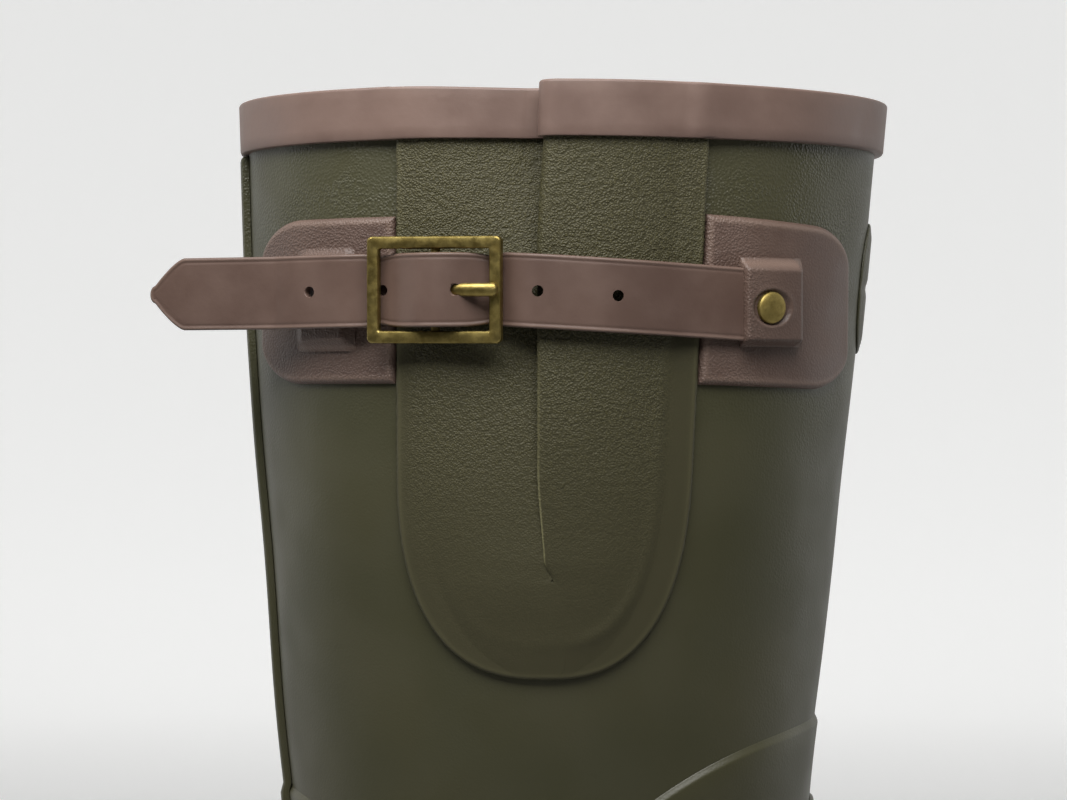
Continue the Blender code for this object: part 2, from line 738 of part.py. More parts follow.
PATCH_TOP = GAP + PATCH_THICKNESS
STRAP_HALF = STRAP_THICKNESS / 2
STRAP_SEAT = PATCH_TOP + GAP + STRAP_HALF
BILLET_SEAT = PATCH_TOP + GAP + BILLET_THICKNESS / 2
TAB_TOP = PATCH_TOP + 2 * GAP + STRAP_THICKNESS + TAB_COVER
KEEPER_TOP = PATCH_TOP + 2 * GAP + BILLET_THICKNESS + KEEPER_COVER
BAR_HEIGHT = FRAME_LIFT - CENTRE_BAR_DROP
BAR_BORE = CENTRE_BAR_RADIUS + GAP
BILLET_LOOP = BAR_BORE + BILLET_THICKNESS / 2
OVER_BAR = BAR_HEIGHT + BAR_BORE + BILLET_THICKNESS + GAP + STRAP_HALF
UNDER_BAR = FRAME_LIFT - FRAME_THICKNESS / 2 - STRAP_HALF - GAP


def strap_route():
    """(x, height over the skin) of the strap's middle, from inside the front tab to behind the keeper."""
    half = BUCKLE_LENGTH / 2
    pleat_top = GAP + GUSSET_SHEET + 0.3 * GUSSET_BULGE + 0.78 * collar_pitch()
    over_pleat = pleat_top + 3 * GAP + STRAP_HALF
    panel_front = gusset_edges(STRAP_Z)[1]
    over_keeper = KEEPER_TOP + 2 * GAP + STRAP_HALF
    return (
        (TAB_REAR + TAB_INSERT - GAP, STRAP_SEAT),
        (TAB_REAR, STRAP_SEAT),
        (panel_front, STRAP_SEAT + GAP),
        (panel_front - 0.006, STRAP_SEAT + 0.0011),
        (PLEAT_X + 0.020, 0.25 * STRAP_SEAT + 0.75 * over_pleat),
        (PLEAT_X + 0.006, over_pleat),
        (PLEAT_X - 0.001, over_pleat - 0.0002),
        (BUCKLE_X + half - BAR_WIDTH / 2, UNDER_BAR + 0.0006),
        (BUCKLE_X + half - 2.2 * BAR_WIDTH, UNDER_BAR + 0.0016),
        (BUCKLE_X + BAR_WIDTH, OVER_BAR - 0.0002),
        (BUCKLE_X, OVER_BAR + 0.0003),
        (BUCKLE_X - BAR_WIDTH, OVER_BAR - 0.0002),
        (BUCKLE_X - half + 2.0 * BAR_WIDTH, UNDER_BAR + 0.0012),
        (BUCKLE_X - half + BAR_WIDTH / 2, UNDER_BAR + 0.0011),
        (KEEPER_FRONT + 0.0005, over_keeper),
        ((KEEPER_FRONT + KEEPER_REAR) / 2, over_keeper + 0.0006),
        (KEEPER_REAR, over_keeper + 0.0022),
    )


def strap_z(x):
    """Height of the strap's middle line, which drops a little towards the tab."""
    front = BUCKLE_X + BUCKLE_LENGTH / 2
    share = (x - front) / (TAB_REAR - front)
    return STRAP_Z - STRAP_DROP * min(max(share, 0.0), 1.0)


def strap_stations():
    """(lower, middle, upper) points along the strap's middle surface."""
    route = strap_route()[::-1]
    knots = [x for x, _ in route]
    heights = [(height,) for _, height in route]
    xs = sorted(set(knots + [(a + b) / 2 for a, b in zip(knots, knots[1:]) if b - a > 0.004]))
    stations = []
    for x in xs:
        middle = strap_z(x)
        height = smooth(knots, heights, x)[0]
        stations.append([side(x, middle + level * STRAP_WIDTH / 2, height) for level in (-1, 0, 1)])
    tail = []
    first = stations[0]
    for k in range(1, 8):
        reach = (TAIL_LENGTH - TIP_LENGTH) * min(k, 4) / 4 + TIP_LENGTH * max(k - 4, 0) / 3
        narrow = 1 - (max(k - 4, 0) / 3) ** 1.4 * 0.92
        angle = math.radians(TAIL_ANGLE)
        shift = Vector((-math.cos(angle), math.sin(angle), 0)) * reach
        centre = first[1] + shift
        tail.append([centre + (point - first[1]) * narrow for point in first])
    return tail[::-1] + stations


def strap_x(start, distance):
    """x at a distance along the strap from another x, forward or back."""
    step = math.copysign(0.0005, distance)
    x = start
    last = side(x, strap_z(x), STRAP_SEAT)
    left = abs(distance)
    while left > 0:
        x += step
        here = side(x, strap_z(x), STRAP_SEAT)
        left -= (here - last).length
        last = here
    return x


def cylinder_cutter(name, centre, axis, radius, length, sides=12):
    shape = bmesh.new()
    bmesh.ops.create_cone(shape, cap_ends=True, segments=sides, radius1=radius, radius2=radius, depth=length)
    turn = Vector((0, 0, 1)).rotation_difference(axis).to_matrix().to_4x4()
    bmesh.ops.transform(shape, matrix=Matrix.Translation(centre) @ turn, verts=shape.verts)
    return from_bmesh(name, shape, None, CUTTERS)


def side_normal(x, z):
    return (side(x, z, 0.001) - side(x, z)).normalized()


def buckle_frame_matrix():
    """Local frame of the buckle: X forward, Y up the leg, Z away from the boot."""
    centre = side(BUCKLE_X, STRAP_Z, FRAME_LIFT)
    normal = side_normal(BUCKLE_X, STRAP_Z)
    forward = (Vector((1, 0, 0)) - normal * normal.x).normalized()
    up = normal.cross(forward)
    matrix = Matrix((forward, up, normal)).transposed().to_4x4()
    matrix.translation = centre
    return matrix


def rounded_rectangle(length, height, corner, segments):
    points = []
    for cx, cy, start in ((1, 1, 0), (-1, 1, 90), (-1, -1, 180), (1, -1, 270)):
        for k in range(segments + 1):
            angle = math.radians(start + 90 * k / segments)
            x = cx * (length / 2 - corner) + corner * math.cos(angle)
            y = cy * (height / 2 - corner) + corner * math.sin(angle)
            points.append((x, y))
    return points


def make_buckle(look):
    """Flat frame with round corners and a centre bar that is joined to it."""
    outer = rounded_rectangle(BUCKLE_LENGTH, BUCKLE_HEIGHT, BUCKLE_CORNER, 3)
    inner = rounded_rectangle(BUCKLE_LENGTH - 2 * BAR_WIDTH, BUCKLE_HEIGHT - 2 * BAR_WIDTH,
                              OPENING_CORNER, 3)
    sections = []
    half = FRAME_THICKNESS / 2
    for (ox, oy), (ix, iy) in zip(outer, inner):
        way = Vector((ox - ix, oy - iy, 0)).normalized()
        a, b = Vector((ox, oy, 0)), Vector((ix, iy, 0))
        lift = Vector((0, 0, half))
        drop = Vector((0, 0, BUCKLE_BEVEL))
        sections.append([a - lift, a + lift - drop, a + lift - way * BUCKLE_BEVEL,
                         b + lift + way * BUCKLE_BEVEL, b + lift - drop, b - lift])
    frame = loft("buckle_frame", sections, look)
    frame.matrix_world = buckle_frame_matrix()
    bar = cylinder_cutter("centre_bar", Vector((0, 0, -CENTRE_BAR_DROP)), Vector((0, 1, 0)),
                          CENTRE_BAR_RADIUS, BUCKLE_HEIGHT - BAR_WIDTH)
    bar.matrix_world = buckle_frame_matrix()
    return combine(frame, bar, "UNION")


def prong_pieces(grow, name, look=None, group=None):
    """Ring round the centre bar with a rod that rests on the front bar, grown all round by a clearance."""
    local = buckle_frame_matrix()
    start = Vector((0.0010, 0, 0.0006))
    front_face = FRAME_THICKNESS / 2 + GAP + PRONG_RADIUS
    end = Vector((BUCKLE_LENGTH / 2 - 0.0006, 0, front_face + 0.0001))
    axis = (end - start).normalized()
    shape = bmesh.new()
    made = bmesh.ops.create_cone(shape, cap_ends=True, segments=10, radius1=PRONG_RADIUS + grow,
                                 radius2=PRONG_RADIUS * 0.8 + grow, depth=(end - start).length + 2 * grow)
    turn = Vector((0, 0, 1)).rotation_difference(axis).to_matrix().to_4x4()
    bmesh.ops.transform(shape, matrix=Matrix.Translation((start + end) / 2) @ turn, verts=made["verts"])
    rod = from_bmesh(name, shape, look, group)
    rod.matrix_world = local
    drop = Vector((0, 0, -CENTRE_BAR_DROP))
    ring = cylinder_cutter(name + "_ring", drop, Vector((0, 1, 0)),
                           BAR_BORE + BILLET_THICKNESS + grow, PRONG_RING_WIDTH + 2 * grow, 16)
    ring.matrix_world = local
    combine(rod, ring, "UNION")
    if grow == 0.0:
        bore = cylinder_cutter(name + "_bore", drop, Vector((0, 1, 0)), BAR_BORE, PRONG_RING_WIDTH * 2, 16)
        bore.matrix_world = local
        combine(rod, bore)
    return rod


def make_strap(look, prong_room):
    rows = strap_stations()
    strap = thicken(grid("strap", rows, look), STRAP_THICKNESS, 0)
    for k in range(-HOLES_REAR, HOLES_FRONT + 1):
        if k == 0:
            continue
        x = strap_x(BUCKLE_X + PRONG_HOLE, k * HOLE_PITCH)
        z = strap_z(x)
        hole = cylinder_cutter(f"hole_{k + HOLES_REAR}", side(x, z, STRAP_SEAT), side_normal(x, z),
                               HOLE_DIAMETER / 2, 0.030, 10)
        combine(strap, hole)
    return combine(strap, prong_room)


def make_billet(look, prong_room):
    """Short strap from the keeper, under the rear bar and round the centre bar."""
    rows = []
    route = [(KEEPER_REAR + 0.004, BILLET_SEAT), (KEEPER_FRONT - 0.004, BILLET_SEAT),
             (BUCKLE_X - 0.016, BILLET_SEAT), (BUCKLE_X - 0.010, BILLET_SEAT),
             (BUCKLE_X - 0.005, BILLET_SEAT + 0.0002)]
    for turn in (-90, -60, -30, 0, 30, 60, 90, 120):
        angle = math.radians(turn)
        route.append((BUCKLE_X + BILLET_LOOP * math.cos(angle), BAR_HEIGHT + BILLET_LOOP * math.sin(angle)))
    for x, height in route:
        rows.append([side(x, STRAP_Z + level * BILLET_WIDTH / 2, height) for level in (-1, 0, 1)])
    billet = thicken(grid("billet", rows, look), BILLET_THICKNESS, 0)
    return combine(billet, prong_room)


def make_tab(look):
    z = strap_z(TAB_REAR) + TAB_RAISE
    tab = block("front_tab", TAB_REAR, TAB_FRONT, z - TAB_HEIGHT / 2, z + TAB_HEIGHT / 2,
                PATCH_TOP + GAP, TAB_TOP, look, taper=0.0010)
    reach = STRAP_WIDTH / 2 + GAP
    slot = block("tab_slot", TAB_REAR - 0.004, TAB_REAR + TAB_INSERT, z - TAB_RAISE - reach,
                 z - TAB_RAISE + reach + GAP, 0.0, STRAP_SEAT + STRAP_HALF + GAP, None, CUTTERS)
    combine(tab, slot)
    normal = side_normal(RIVET_X, z - RIVET_DROP)
    seat = side(RIVET_X, z - RIVET_DROP, TAB_TOP)
    recess = cylinder_cutter("rivet_recess", seat + normal * (0.002 - RIVET_RECESS), normal,
                             RIVET_DIAMETER / 2 + 0.0010, 0.004, 20)
    return combine(tab, recess)


def make_rivet(look):
    """Low dome of a rivet, turned about its axis, in the tab's recess."""
    z = strap_z(TAB_REAR) + TAB_RAISE - RIVET_DROP
    normal = side_normal(RIVET_X, z)
    profile = [(0.0, 0.0), (RIVET_DIAMETER / 2, 0.0), (RIVET_DIAMETER / 2, RIVET_RECESS * 0.6)]
    for k in range(1, 4):
        angle = math.radians(90 * k / 4)
        profile.append((RIVET_DIAMETER / 2 * math.cos(angle),
                        RIVET_RECESS * 0.6 + RIVET_DOME * math.sin(angle)))
    profile.append((0.0, RIVET_RECESS * 0.6 + RIVET_DOME))
    mesh = bpy.data.meshes.new("front_rivet")
    points = [(radius, 0.0, height) for radius, height in reversed(profile)]
    mesh.from_pydata(points, [(i, i + 1) for i in range(len(points) - 1)], [])
    mesh.materials.append(look)
    rivet = bpy.data.objects.new("front_rivet", mesh)
    PARTS.objects.link(rivet)
    turned = rivet.modifiers.new("turned", "SCREW")
    turned.steps = 16
    turned.render_steps = 16
    turned.use_merge_vertices = True
    turned.merge_threshold = 0.00001
    turned.use_smooth_shade = True
    rivet.rotation_mode = "QUATERNION"
    rivet.rotation_quaternion = Vector((0, 0, 1)).rotation_difference(normal)
    rivet.location = side(RIVET_X, z, TAB_TOP - RIVET_RECESS + GAP) + normal * 0.0001
    return rivet


def make_keeper(look):
    middle = STRAP_Z - KEEPER_DROP
    keeper = block("rear_keeper", KEEPER_REAR, KEEPER_FRONT, middle - KEEPER_HEIGHT / 2,
                   middle + KEEPER_HEIGHT / 2, PATCH_TOP + GAP, KEEPER_TOP, look, taper=0.0008)
    slot = block("keeper_slot", KEEPER_REAR + 0.0035, KEEPER_FRONT + 0.004, STRAP_Z - BILLET_WIDTH / 2 - GAP,
                 STRAP_Z + BILLET_WIDTH / 2 + GAP, 0.0, BILLET_SEAT + BILLET_THICKNESS / 2 + GAP,
                 None, CUTTERS)
    return combine(keeper, slot)


def outline_point(theta, out):
    """Point of the foot's plan at the feather line, moved out level."""
    here = skin(theta, 0.0)
    along = skin(theta + 0.02, 0.0) - skin(theta - 0.02, 0.0)
    normal = Vector((along.y, -along.x, 0)).normalized()
    return here + normal * out


def level_point(theta, out, z):
    """Point of the plan at a given height."""
    here = outline_point(theta, out)
    return Vector((here.x, here.y, z))


def sole_bottom(x):
    """Height of the sole's underside: heel, arch, ball and toe spring."""
    if x < HEEL_BREAST:
        return 0.0
    if x < BALL_START:
        share = (x - HEEL_BREAST) / (BALL_START - HEEL_BREAST)
        return BREAST_HEIGHT * (1 - ease((share - 0.15) / 0.85))
    toe = TOE_TIP_SHARE * SOLE_LENGTH
    share = min(max((x - BALL_END) / (toe - BALL_END), 0.0), 1.0)
    return TOE_SPRING * share**1.6


def make_outsole(look):
    """Sole with a rim round the upper, its arch and toe spring cut from below, and its lugs."""
    rings = []
    reach = GAP + RIM_WALL + SOLE_LEDGE
    for out, z in ((reach, 0.0), (reach, SOLE_STEP_HEIGHT), (reach - SOLE_LEDGE, SOLE_STEP_HEIGHT + SOLE_LEDGE)):
        rings.append([level_point(theta, out, z) for theta in angles()])
    tops = [v_at(theta, skin(theta, 0.0).z + RIM_HEIGHT) for theta in angles()]
    for share in (0.0, 0.5, 1.0):
        rings.append([skin(t, top * share, GAP * 2 + STEP_DEPTH * ease(share) + RIM_WALL * (1 - 0.3 * share))
                      for t, top in zip(angles(), tops)])
    for share in (1.0, 0.5):
        rings.append([skin(t, top * share, GAP * 2 + STEP_DEPTH * ease(share)) for t, top in zip(angles(), tops)])
    rings.append([outline_point(t, GAP * 2) - Vector((0, 0, GAP)) for t in angles()])
    sole = loft("outsole", rings, look, around=False)
    width = BALL_WIDTH
    toe = SOLE_LENGTH
    profile = [(HEEL_BREAST, -CUTTER_DROP), (HEEL_BREAST, 0.0)]
    profile.append((HEEL_BREAST + 0.003, BREAST_HEIGHT))
    for k in range(1, 9):
        x = HEEL_BREAST + 0.003 + (BALL_START - HEEL_BREAST - 0.003) * k / 8
        profile.append((x, sole_bottom(x) if k < 8 else 0.0))
    profile.append((BALL_START, -CUTTER_DROP))
    arch = prism("arch_cutter", [Vector((x, -width, z)) for x, z in profile], Vector((0, 2 * width, 0)), CUTTERS)
    combine(sole, arch)
    profile = [(BALL_END, -CUTTER_DROP), (BALL_END, 0.0)]
    for k in range(1, 7):
        x = BALL_END + (toe - BALL_END) * k / 6
        profile.append((x, sole_bottom(x)))
    profile.append((toe, -CUTTER_DROP))
    spring = prism("toe_spring_cutter", [Vector((x, -width, z)) for x, z in profile],
                   Vector((0, 2 * width, 0)), CUTTERS)
    combine(sole, spring)
    for k, (x, way) in enumerate(groove_places()):
        bend = CHEVRON * way
        half = GROOVE_WIDTH / 2
        low = -CUTTER_DROP
        outline = [(x - half, 0), (x + bend - half, width), (x + bend + half, width), (x + half, 0),
                   (x + bend + half, -width), (x + bend - half, -width)]
        top = sole_bottom(x) + LUG_DEPTH
        groove = prism(f"groove_{k}", [Vector((gx, gy, low)) for gx, gy in outline],
                       Vector((0, 0, top - low)), CUTTERS)
        combine(sole, groove)
    return sole


def groove_places():
    """(x, chevron's direction) of each groove: three on the heel, the rest on the forefoot."""
    places = []
    x = FIRST_GROOVE
    while x < HEEL_BREAST - LUG_PITCH * 0.6:
        places.append((x, -0.5))
        x += LUG_PITCH
    x = BALL_START + LUG_PITCH * 0.5
    while x < 0.83 * SOLE_LENGTH:
        places.append((x, -0.8))
        x += LUG_PITCH
    return places


def make_insole(look):
    inside = WALL + 3 * GAP
    rings = []
    low = [outline_point(t, -inside) for t in angles()]
    rings.append([point + Vector((0, 0, GAP)) for point in low])
    rings.append([point + Vector((0, 0, GAP + INSOLE_THICKNESS)) for point in low])
    return loft("insole", rings, look, around=False)


for old in list(bpy.data.objects):
    bpy.data.objects.remove(old)

PARTS = collection("rubber_boot")
CUTTERS = collection("rubber_boot_cutters")

OLIVE = material("olive_rubber", (0.052, 0.050, 0.028), 0.55)
OLIVE_GRAIN = material("olive_grained_rubber", (0.060, 0.058, 0.033), 0.65)
BROWN = material("brown_trim_rubber", (0.100, 0.072, 0.056), 0.60)
SOLE_BROWN = material("brown_sole_rubber", (0.060, 0.045, 0.036), 0.70)
BRASS = material("antique_brass", (0.36, 0.28, 0.12), 0.42, 1.0)
CLOTH = material("insole_fabric", (0.20, 0.18, 0.14), 0.95)

make_upper(OLIVE)
make_outsole(SOLE_BROWN)
make_insole(CLOTH)
make_gusset(OLIVE_GRAIN)
make_binding(BROWN)
make_strip(OLIVE)
make_pad(OLIVE)
make_guard(OLIVE)
make_patch("front_patch", True, FRONT_PATCH_LOW, FRONT_PATCH_HIGH, FRONT_PATCH_FAR, FRONT_PATCH_CORNER, BROWN)
make_patch("rear_patch", False, REAR_PATCH_LOW, REAR_PATCH_HIGH, REAR_PATCH_FAR, REAR_PATCH_CORNER, BROWN)
make_tab(BROWN)
make_rivet(BRASS)
make_keeper(BROWN)
make_buckle(BRASS)
prong_pieces(0.0, "buckle_prong", BRASS)
ROOM = prong_pieces(GAP, "prong_room", None, CUTTERS)
make_strap(BROWN, ROOM)
make_billet(BROWN, ROOM)
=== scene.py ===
import json
import math

import bmesh
import bpy
import numpy as np
from mathutils import Matrix, Vector

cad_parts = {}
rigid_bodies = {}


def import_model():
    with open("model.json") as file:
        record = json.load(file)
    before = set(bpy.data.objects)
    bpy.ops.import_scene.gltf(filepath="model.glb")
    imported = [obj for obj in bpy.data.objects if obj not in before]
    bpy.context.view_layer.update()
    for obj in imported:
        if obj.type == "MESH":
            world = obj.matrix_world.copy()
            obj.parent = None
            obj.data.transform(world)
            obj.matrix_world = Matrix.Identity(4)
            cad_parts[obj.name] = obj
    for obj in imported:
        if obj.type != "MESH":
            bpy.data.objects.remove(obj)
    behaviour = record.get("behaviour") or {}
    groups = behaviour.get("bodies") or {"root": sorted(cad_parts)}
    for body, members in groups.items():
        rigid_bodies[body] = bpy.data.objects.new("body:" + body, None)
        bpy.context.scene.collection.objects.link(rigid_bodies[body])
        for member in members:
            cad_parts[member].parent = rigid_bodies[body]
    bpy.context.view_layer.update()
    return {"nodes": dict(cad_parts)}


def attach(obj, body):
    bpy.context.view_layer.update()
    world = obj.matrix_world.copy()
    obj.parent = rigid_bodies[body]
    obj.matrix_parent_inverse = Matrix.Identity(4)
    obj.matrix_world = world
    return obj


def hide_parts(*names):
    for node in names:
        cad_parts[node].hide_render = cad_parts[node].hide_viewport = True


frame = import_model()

BODY = "root"

# Sizes of the boot in metres, as in the part's source, but for the pad's thickness (0.1 mm less), the
# strap's width (0.3 mm more) and the rows of the pleat's course
SOLE_LENGTH, BALL_WIDTH, INSTEP_HEIGHT, BOOT_HEIGHT = 0.298, 0.098, 0.102, 0.400
COLLAR_LENGTH, COLLAR_WIDTH = 0.159, 0.112
TOE_SWING, SWING_START, SWING_SPAN = 0.008, 0.20, 0.65
MEDIAL_WAIST, LATERAL_WAIST, WAIST_PLACE, WAIST_SPREAD = 0.20, 0.10, 0.42, 0.13
WALL, GAP = 0.0020, 0.0003
STEP_DEPTH = 0.0010
STEP_FRONT, STEP_BACK, STEP_DIP = 0.6225 * BOOT_HEIGHT, 0.590 * BOOT_HEIGHT, 0.075 * BOOT_HEIGHT
STEP_DIP_COSINE, STEP_DIP_SHARE = -0.2, 0.6
HEEL_TOP, ARCH_TOP, FORE_TOP, TOE_TOP, TOE_SPRING = 0.028, 0.0235, 0.017, 0.028, 0.010
HEEL_BREAST, BREAST_HEIGHT, BALL_START, BALL_END = 0.032, 0.012, 0.115, 0.185
RIM_HEIGHT, RIM_WALL, SOLE_LEDGE, SOLE_STEP_HEIGHT = 0.010, 0.0026, 0.0012, 0.011
LUG_DEPTH, GROOVE_WIDTH, LUG_PITCH, CHEVRON, FIRST_GROOVE = 0.005, 0.0055, 0.0150, 0.009, -0.020
INSOLE_THICKNESS = 0.004
BINDING_HEIGHT, BINDING_WALL, FOLD_WALL, BINDING_TOP = 0.0125, 0.0019, 0.00115, 0.0015
GUSSET_BOTTOM, GUSSET_MIDDLE = BOOT_HEIGHT - 0.1385, 0.1113 * COLLAR_LENGTH
GUSSET_REAR, GUSSET_FRONT, GUSSET_FLARE = 0.0344, 0.0319, 0.0066
GUSSET_ROUND, GUSSET_POWER, GUSSET_MARGIN, GUSSET_SHEET, GUSSET_BULGE = 0.0505, 2.6, 0.0070, 0.0012, 0.0022
PLEAT_X, PLEAT_LEAN, PLEAT_LEAN_HEIGHT = GUSSET_MIDDLE - 0.0012, 0.0019, 0.039
PLEAT_FOOT, PLEAT_FOOT_HEIGHT = 0.0018, BOOT_HEIGHT - 0.088
PLEAT_DEPTH, PLEAT_SPREAD = 0.025, 0.004
STRIP_WIDTH, STRIP_THICKNESS = 0.013, 0.0019
PAD_WIDTH, PAD_HEIGHT, PAD_MIDDLE, PAD_THICKNESS = 0.026, 0.0325, BOOT_HEIGHT - 0.0455, 0.0009
GUARD_TOP, GUARD_ROUND, GUARD_THICKNESS = 0.571 * BOOT_HEIGHT, 0.012, 0.0009
PATCH_THICKNESS = 0.0013
FRONT_PATCH = (0.569 * COLLAR_LENGTH, BOOT_HEIGHT - 0.0702, BOOT_HEIGHT - 0.0304, 0.0096)
REAR_PATCH = (-0.3145 * COLLAR_LENGTH, BOOT_HEIGHT - 0.0695, BOOT_HEIGHT - 0.0304, 0.0100)
STRAP_WIDTH, STRAP_THICKNESS, STRAP_Z, STRAP_DROP = 0.0171, 0.0018, BOOT_HEIGHT - 0.0477, 0.0031
HOLE_PITCH, HOLE_DIAMETER = 0.0180, 0.0026
TAIL_LENGTH, TAIL_ANGLE, TIP_LENGTH = 0.0333, math.radians(20.0), 0.0090
TAB_REAR = 0.3930 * COLLAR_LENGTH
TAB_FRONT, TAB_INSERT, TAB_HEIGHT, TAB_COVER = TAB_REAR + 0.0148, 0.0060, 0.0210, 0.0016
TAB_RAISE, RIVET_DROP = 0.0006, 0.0012
KEEPER_FRONT = -0.1635 * COLLAR_LENGTH
KEEPER_REAR, KEEPER_DROP, KEEPER_HEIGHT, KEEPER_COVER = KEEPER_FRONT - 0.0140, 0.0018, 0.0245, 0.0011
BILLET_THICKNESS = 0.0011
BUCKLE_X, BUCKLE_LENGTH, BUCKLE_HEIGHT = -0.0408 * COLLAR_LENGTH, 0.0323, 0.0248
BAR_WIDTH, BUCKLE_CORNER, OPENING_CORNER = 0.0029, 0.0013, 0.0004
FRAME_THICKNESS, FRAME_LIFT, CENTRE_BAR_RADIUS, CENTRE_BAR_DROP = 0.0024, 0.0056, 0.0011, 0.0008
PRONG_HOLE = 0.0052
RIVET_X, RIVET_DIAMETER, RIVET_DOME, RIVET_RECESS = TAB_REAR + 0.0057, 0.0076, 0.0011, 0.0007
RIM_Z, BINDING_LOW = BOOT_HEIGHT - BINDING_TOP - GAP, BOOT_HEIGHT - BINDING_HEIGHT

FOOT_RINGS = (
    (-0.1385, 0.8456, 0.000, 0.000, 0.500, 0.70, 2.5, 2.4, 1.00),
    (-0.1395, 0.8440, 0.080, 0.090, 0.499, 0.70, 2.5, 2.4, 0.95),
    (-0.1419, 0.8260, 0.210, 0.270, 0.492, 0.69, 2.4, 2.4, 0.75),
    (-0.1426, 0.7700, 0.340, 0.455, 0.473, 0.66, 2.3, 2.3, 0.45),
    (-0.1409, 0.6650, 0.500, 0.600, 0.447, 0.60, 2.2, 2.3, 0.20),
    (-0.1359, 0.5230, 0.720, 0.790, 0.418, 0.52, 2.15, 2.2, 0.05),
    (-0.1292, 0.4080, 0.973, 1.000, 0.400, 0.47, 2.1, 2.2, 0.00),
)
SHAFT_RINGS = (
    (-0.2327, 0.6170, 0.067, 0.074, 0.3527, 0.46, 2.1, 2.1, 0.0),
    (-0.2358, 0.5420, 0.161, 0.185, 0.3705, 0.48, 2.1, 2.1, 0.0),
    (-0.2640, 0.5130, 0.329, 0.329, 0.4107, 0.49, 2.1, 2.1, 0.0),
    (-0.3020, 0.5470, 0.547, 0.547, 0.4554, 0.50, 2.1, 2.1, 0.0),
    (-0.3400, 0.6006, 0.799, 0.799, 0.4866, 0.50, 2.1, 2.1, 0.0),
    (-0.3540, 0.6365, 1.000, 1.000, 0.5000, 0.50, 2.1, 2.1, 0.0),
)
SOLE_TOP_ROWS = (
    (-0.160, HEEL_TOP), (0.080, HEEL_TOP), (0.180, HEEL_TOP - 0.2 * (HEEL_TOP - ARCH_TOP)),
    (0.300, ARCH_TOP), (0.480, FORE_TOP), (0.620, FORE_TOP), (0.740, 0.75 * FORE_TOP + 0.25 * TOE_TOP),
    (0.870, TOE_TOP),
)
PLEAT_ROWS = (
    (0.00, 0.00, 0.12, 0.05, 0.00),
    (0.12, 0.00, 0.12, 0.05, 0.55),
    (0.162, 0.25, 0.12, 0.05, 0.70),
    (0.20, 1.00, 0.13, 0.06, 0.80),
    (0.34, 1.00, 0.26, 0.22, 0.90),
    (0.57, 1.00, 0.60, 0.45, 0.70),
    (0.90, 1.00, 0.95, 1.00, -0.45),
    (1.00, 1.00, 1.00, 1.00, -0.45),
)
# Creases, columns: height at the front, fall towards the back, angle of the middle, spread of angle,
# half width, depth of the trough
CREASES = (
    (0.1220, -0.010, 0.00, 1.05, 0.0050, 0.00110),
    (0.1400, -0.022, 0.15, 0.95, 0.0055, 0.00100),
    (0.1590, -0.034, -0.20, 0.90, 0.0060, 0.00075),
    (0.1060, 0.004, 0.45, 0.55, 0.0045, 0.00070),
    (0.1130, -0.030, 2.30, 0.55, 0.0060, 0.00070),
    (0.1180, -0.030, -2.30, 0.55, 0.0060, 0.00070),
)


def smooth(knots, rows, value):
    value = np.asarray(value, float)
    last = len(knots) - 1
    low = np.maximum(np.arange(last + 1) - 1, 0)
    high = np.minimum(np.arange(last + 1) + 1, last)
    slopes = (rows[high] - rows[low]) / (knots[high] - knots[low])[:, None]
    k = np.clip(np.searchsorted(knots, value, side="right") - 1, 0, last - 1)
    span = (knots[k + 1] - knots[k])[..., None]
    t = np.clip((value - knots[k])[..., None] / span, 0.0, 1.0)
    return ((2 * t**3 - 3 * t**2 + 1) * rows[k] + (t**3 - 2 * t**2 + t) * slopes[k] * span
            + (3 * t**2 - 2 * t**3) * rows[k + 1] + (t**3 - t**2) * slopes[k + 1] * span)


def ease(t):
    t = np.clip(t, 0.0, 1.0)
    return t * t * (3 - 2 * t)


SOLE_KNOTS = np.array([row[0] for row in SOLE_TOP_ROWS])
SOLE_VALUES = np.array([row[1:] for row in SOLE_TOP_ROWS])


def sole_top(x):
    return smooth(SOLE_KNOTS, SOLE_VALUES, np.asarray(x) / SOLE_LENGTH)[..., 0]


def real_rings():
    instep = INSTEP_HEIGHT - HEEL_TOP
    shaft = BOOT_HEIGHT - INSTEP_HEIGHT
    rings = []
    for back, front, low, high, half, *rest in FOOT_RINGS:
        rings.append([back * SOLE_LENGTH, front * SOLE_LENGTH, low * instep, high * instep,
                      half * BALL_WIDTH, *rest])
    for back, front, low, high, half, *rest in SHAFT_RINGS:
        rings.append([back * COLLAR_LENGTH, front * COLLAR_LENGTH, instep + low * shaft,
                      instep + high * shaft, half * COLLAR_WIDTH, *rest])
    return np.array(rings)


RINGS = real_rings()
STEPS = np.diff(RINGS, axis=0)
KNOTS = np.concatenate([[0.0], np.cumsum((np.hypot(STEPS[:, 0], STEPS[:, 2])
                                          + np.hypot(STEPS[:, 1], STEPS[:, 3])) / 2)])
KNOTS = KNOTS / KNOTS[-1]


def ring_at(v):
    return smooth(KNOTS, RINGS, v)


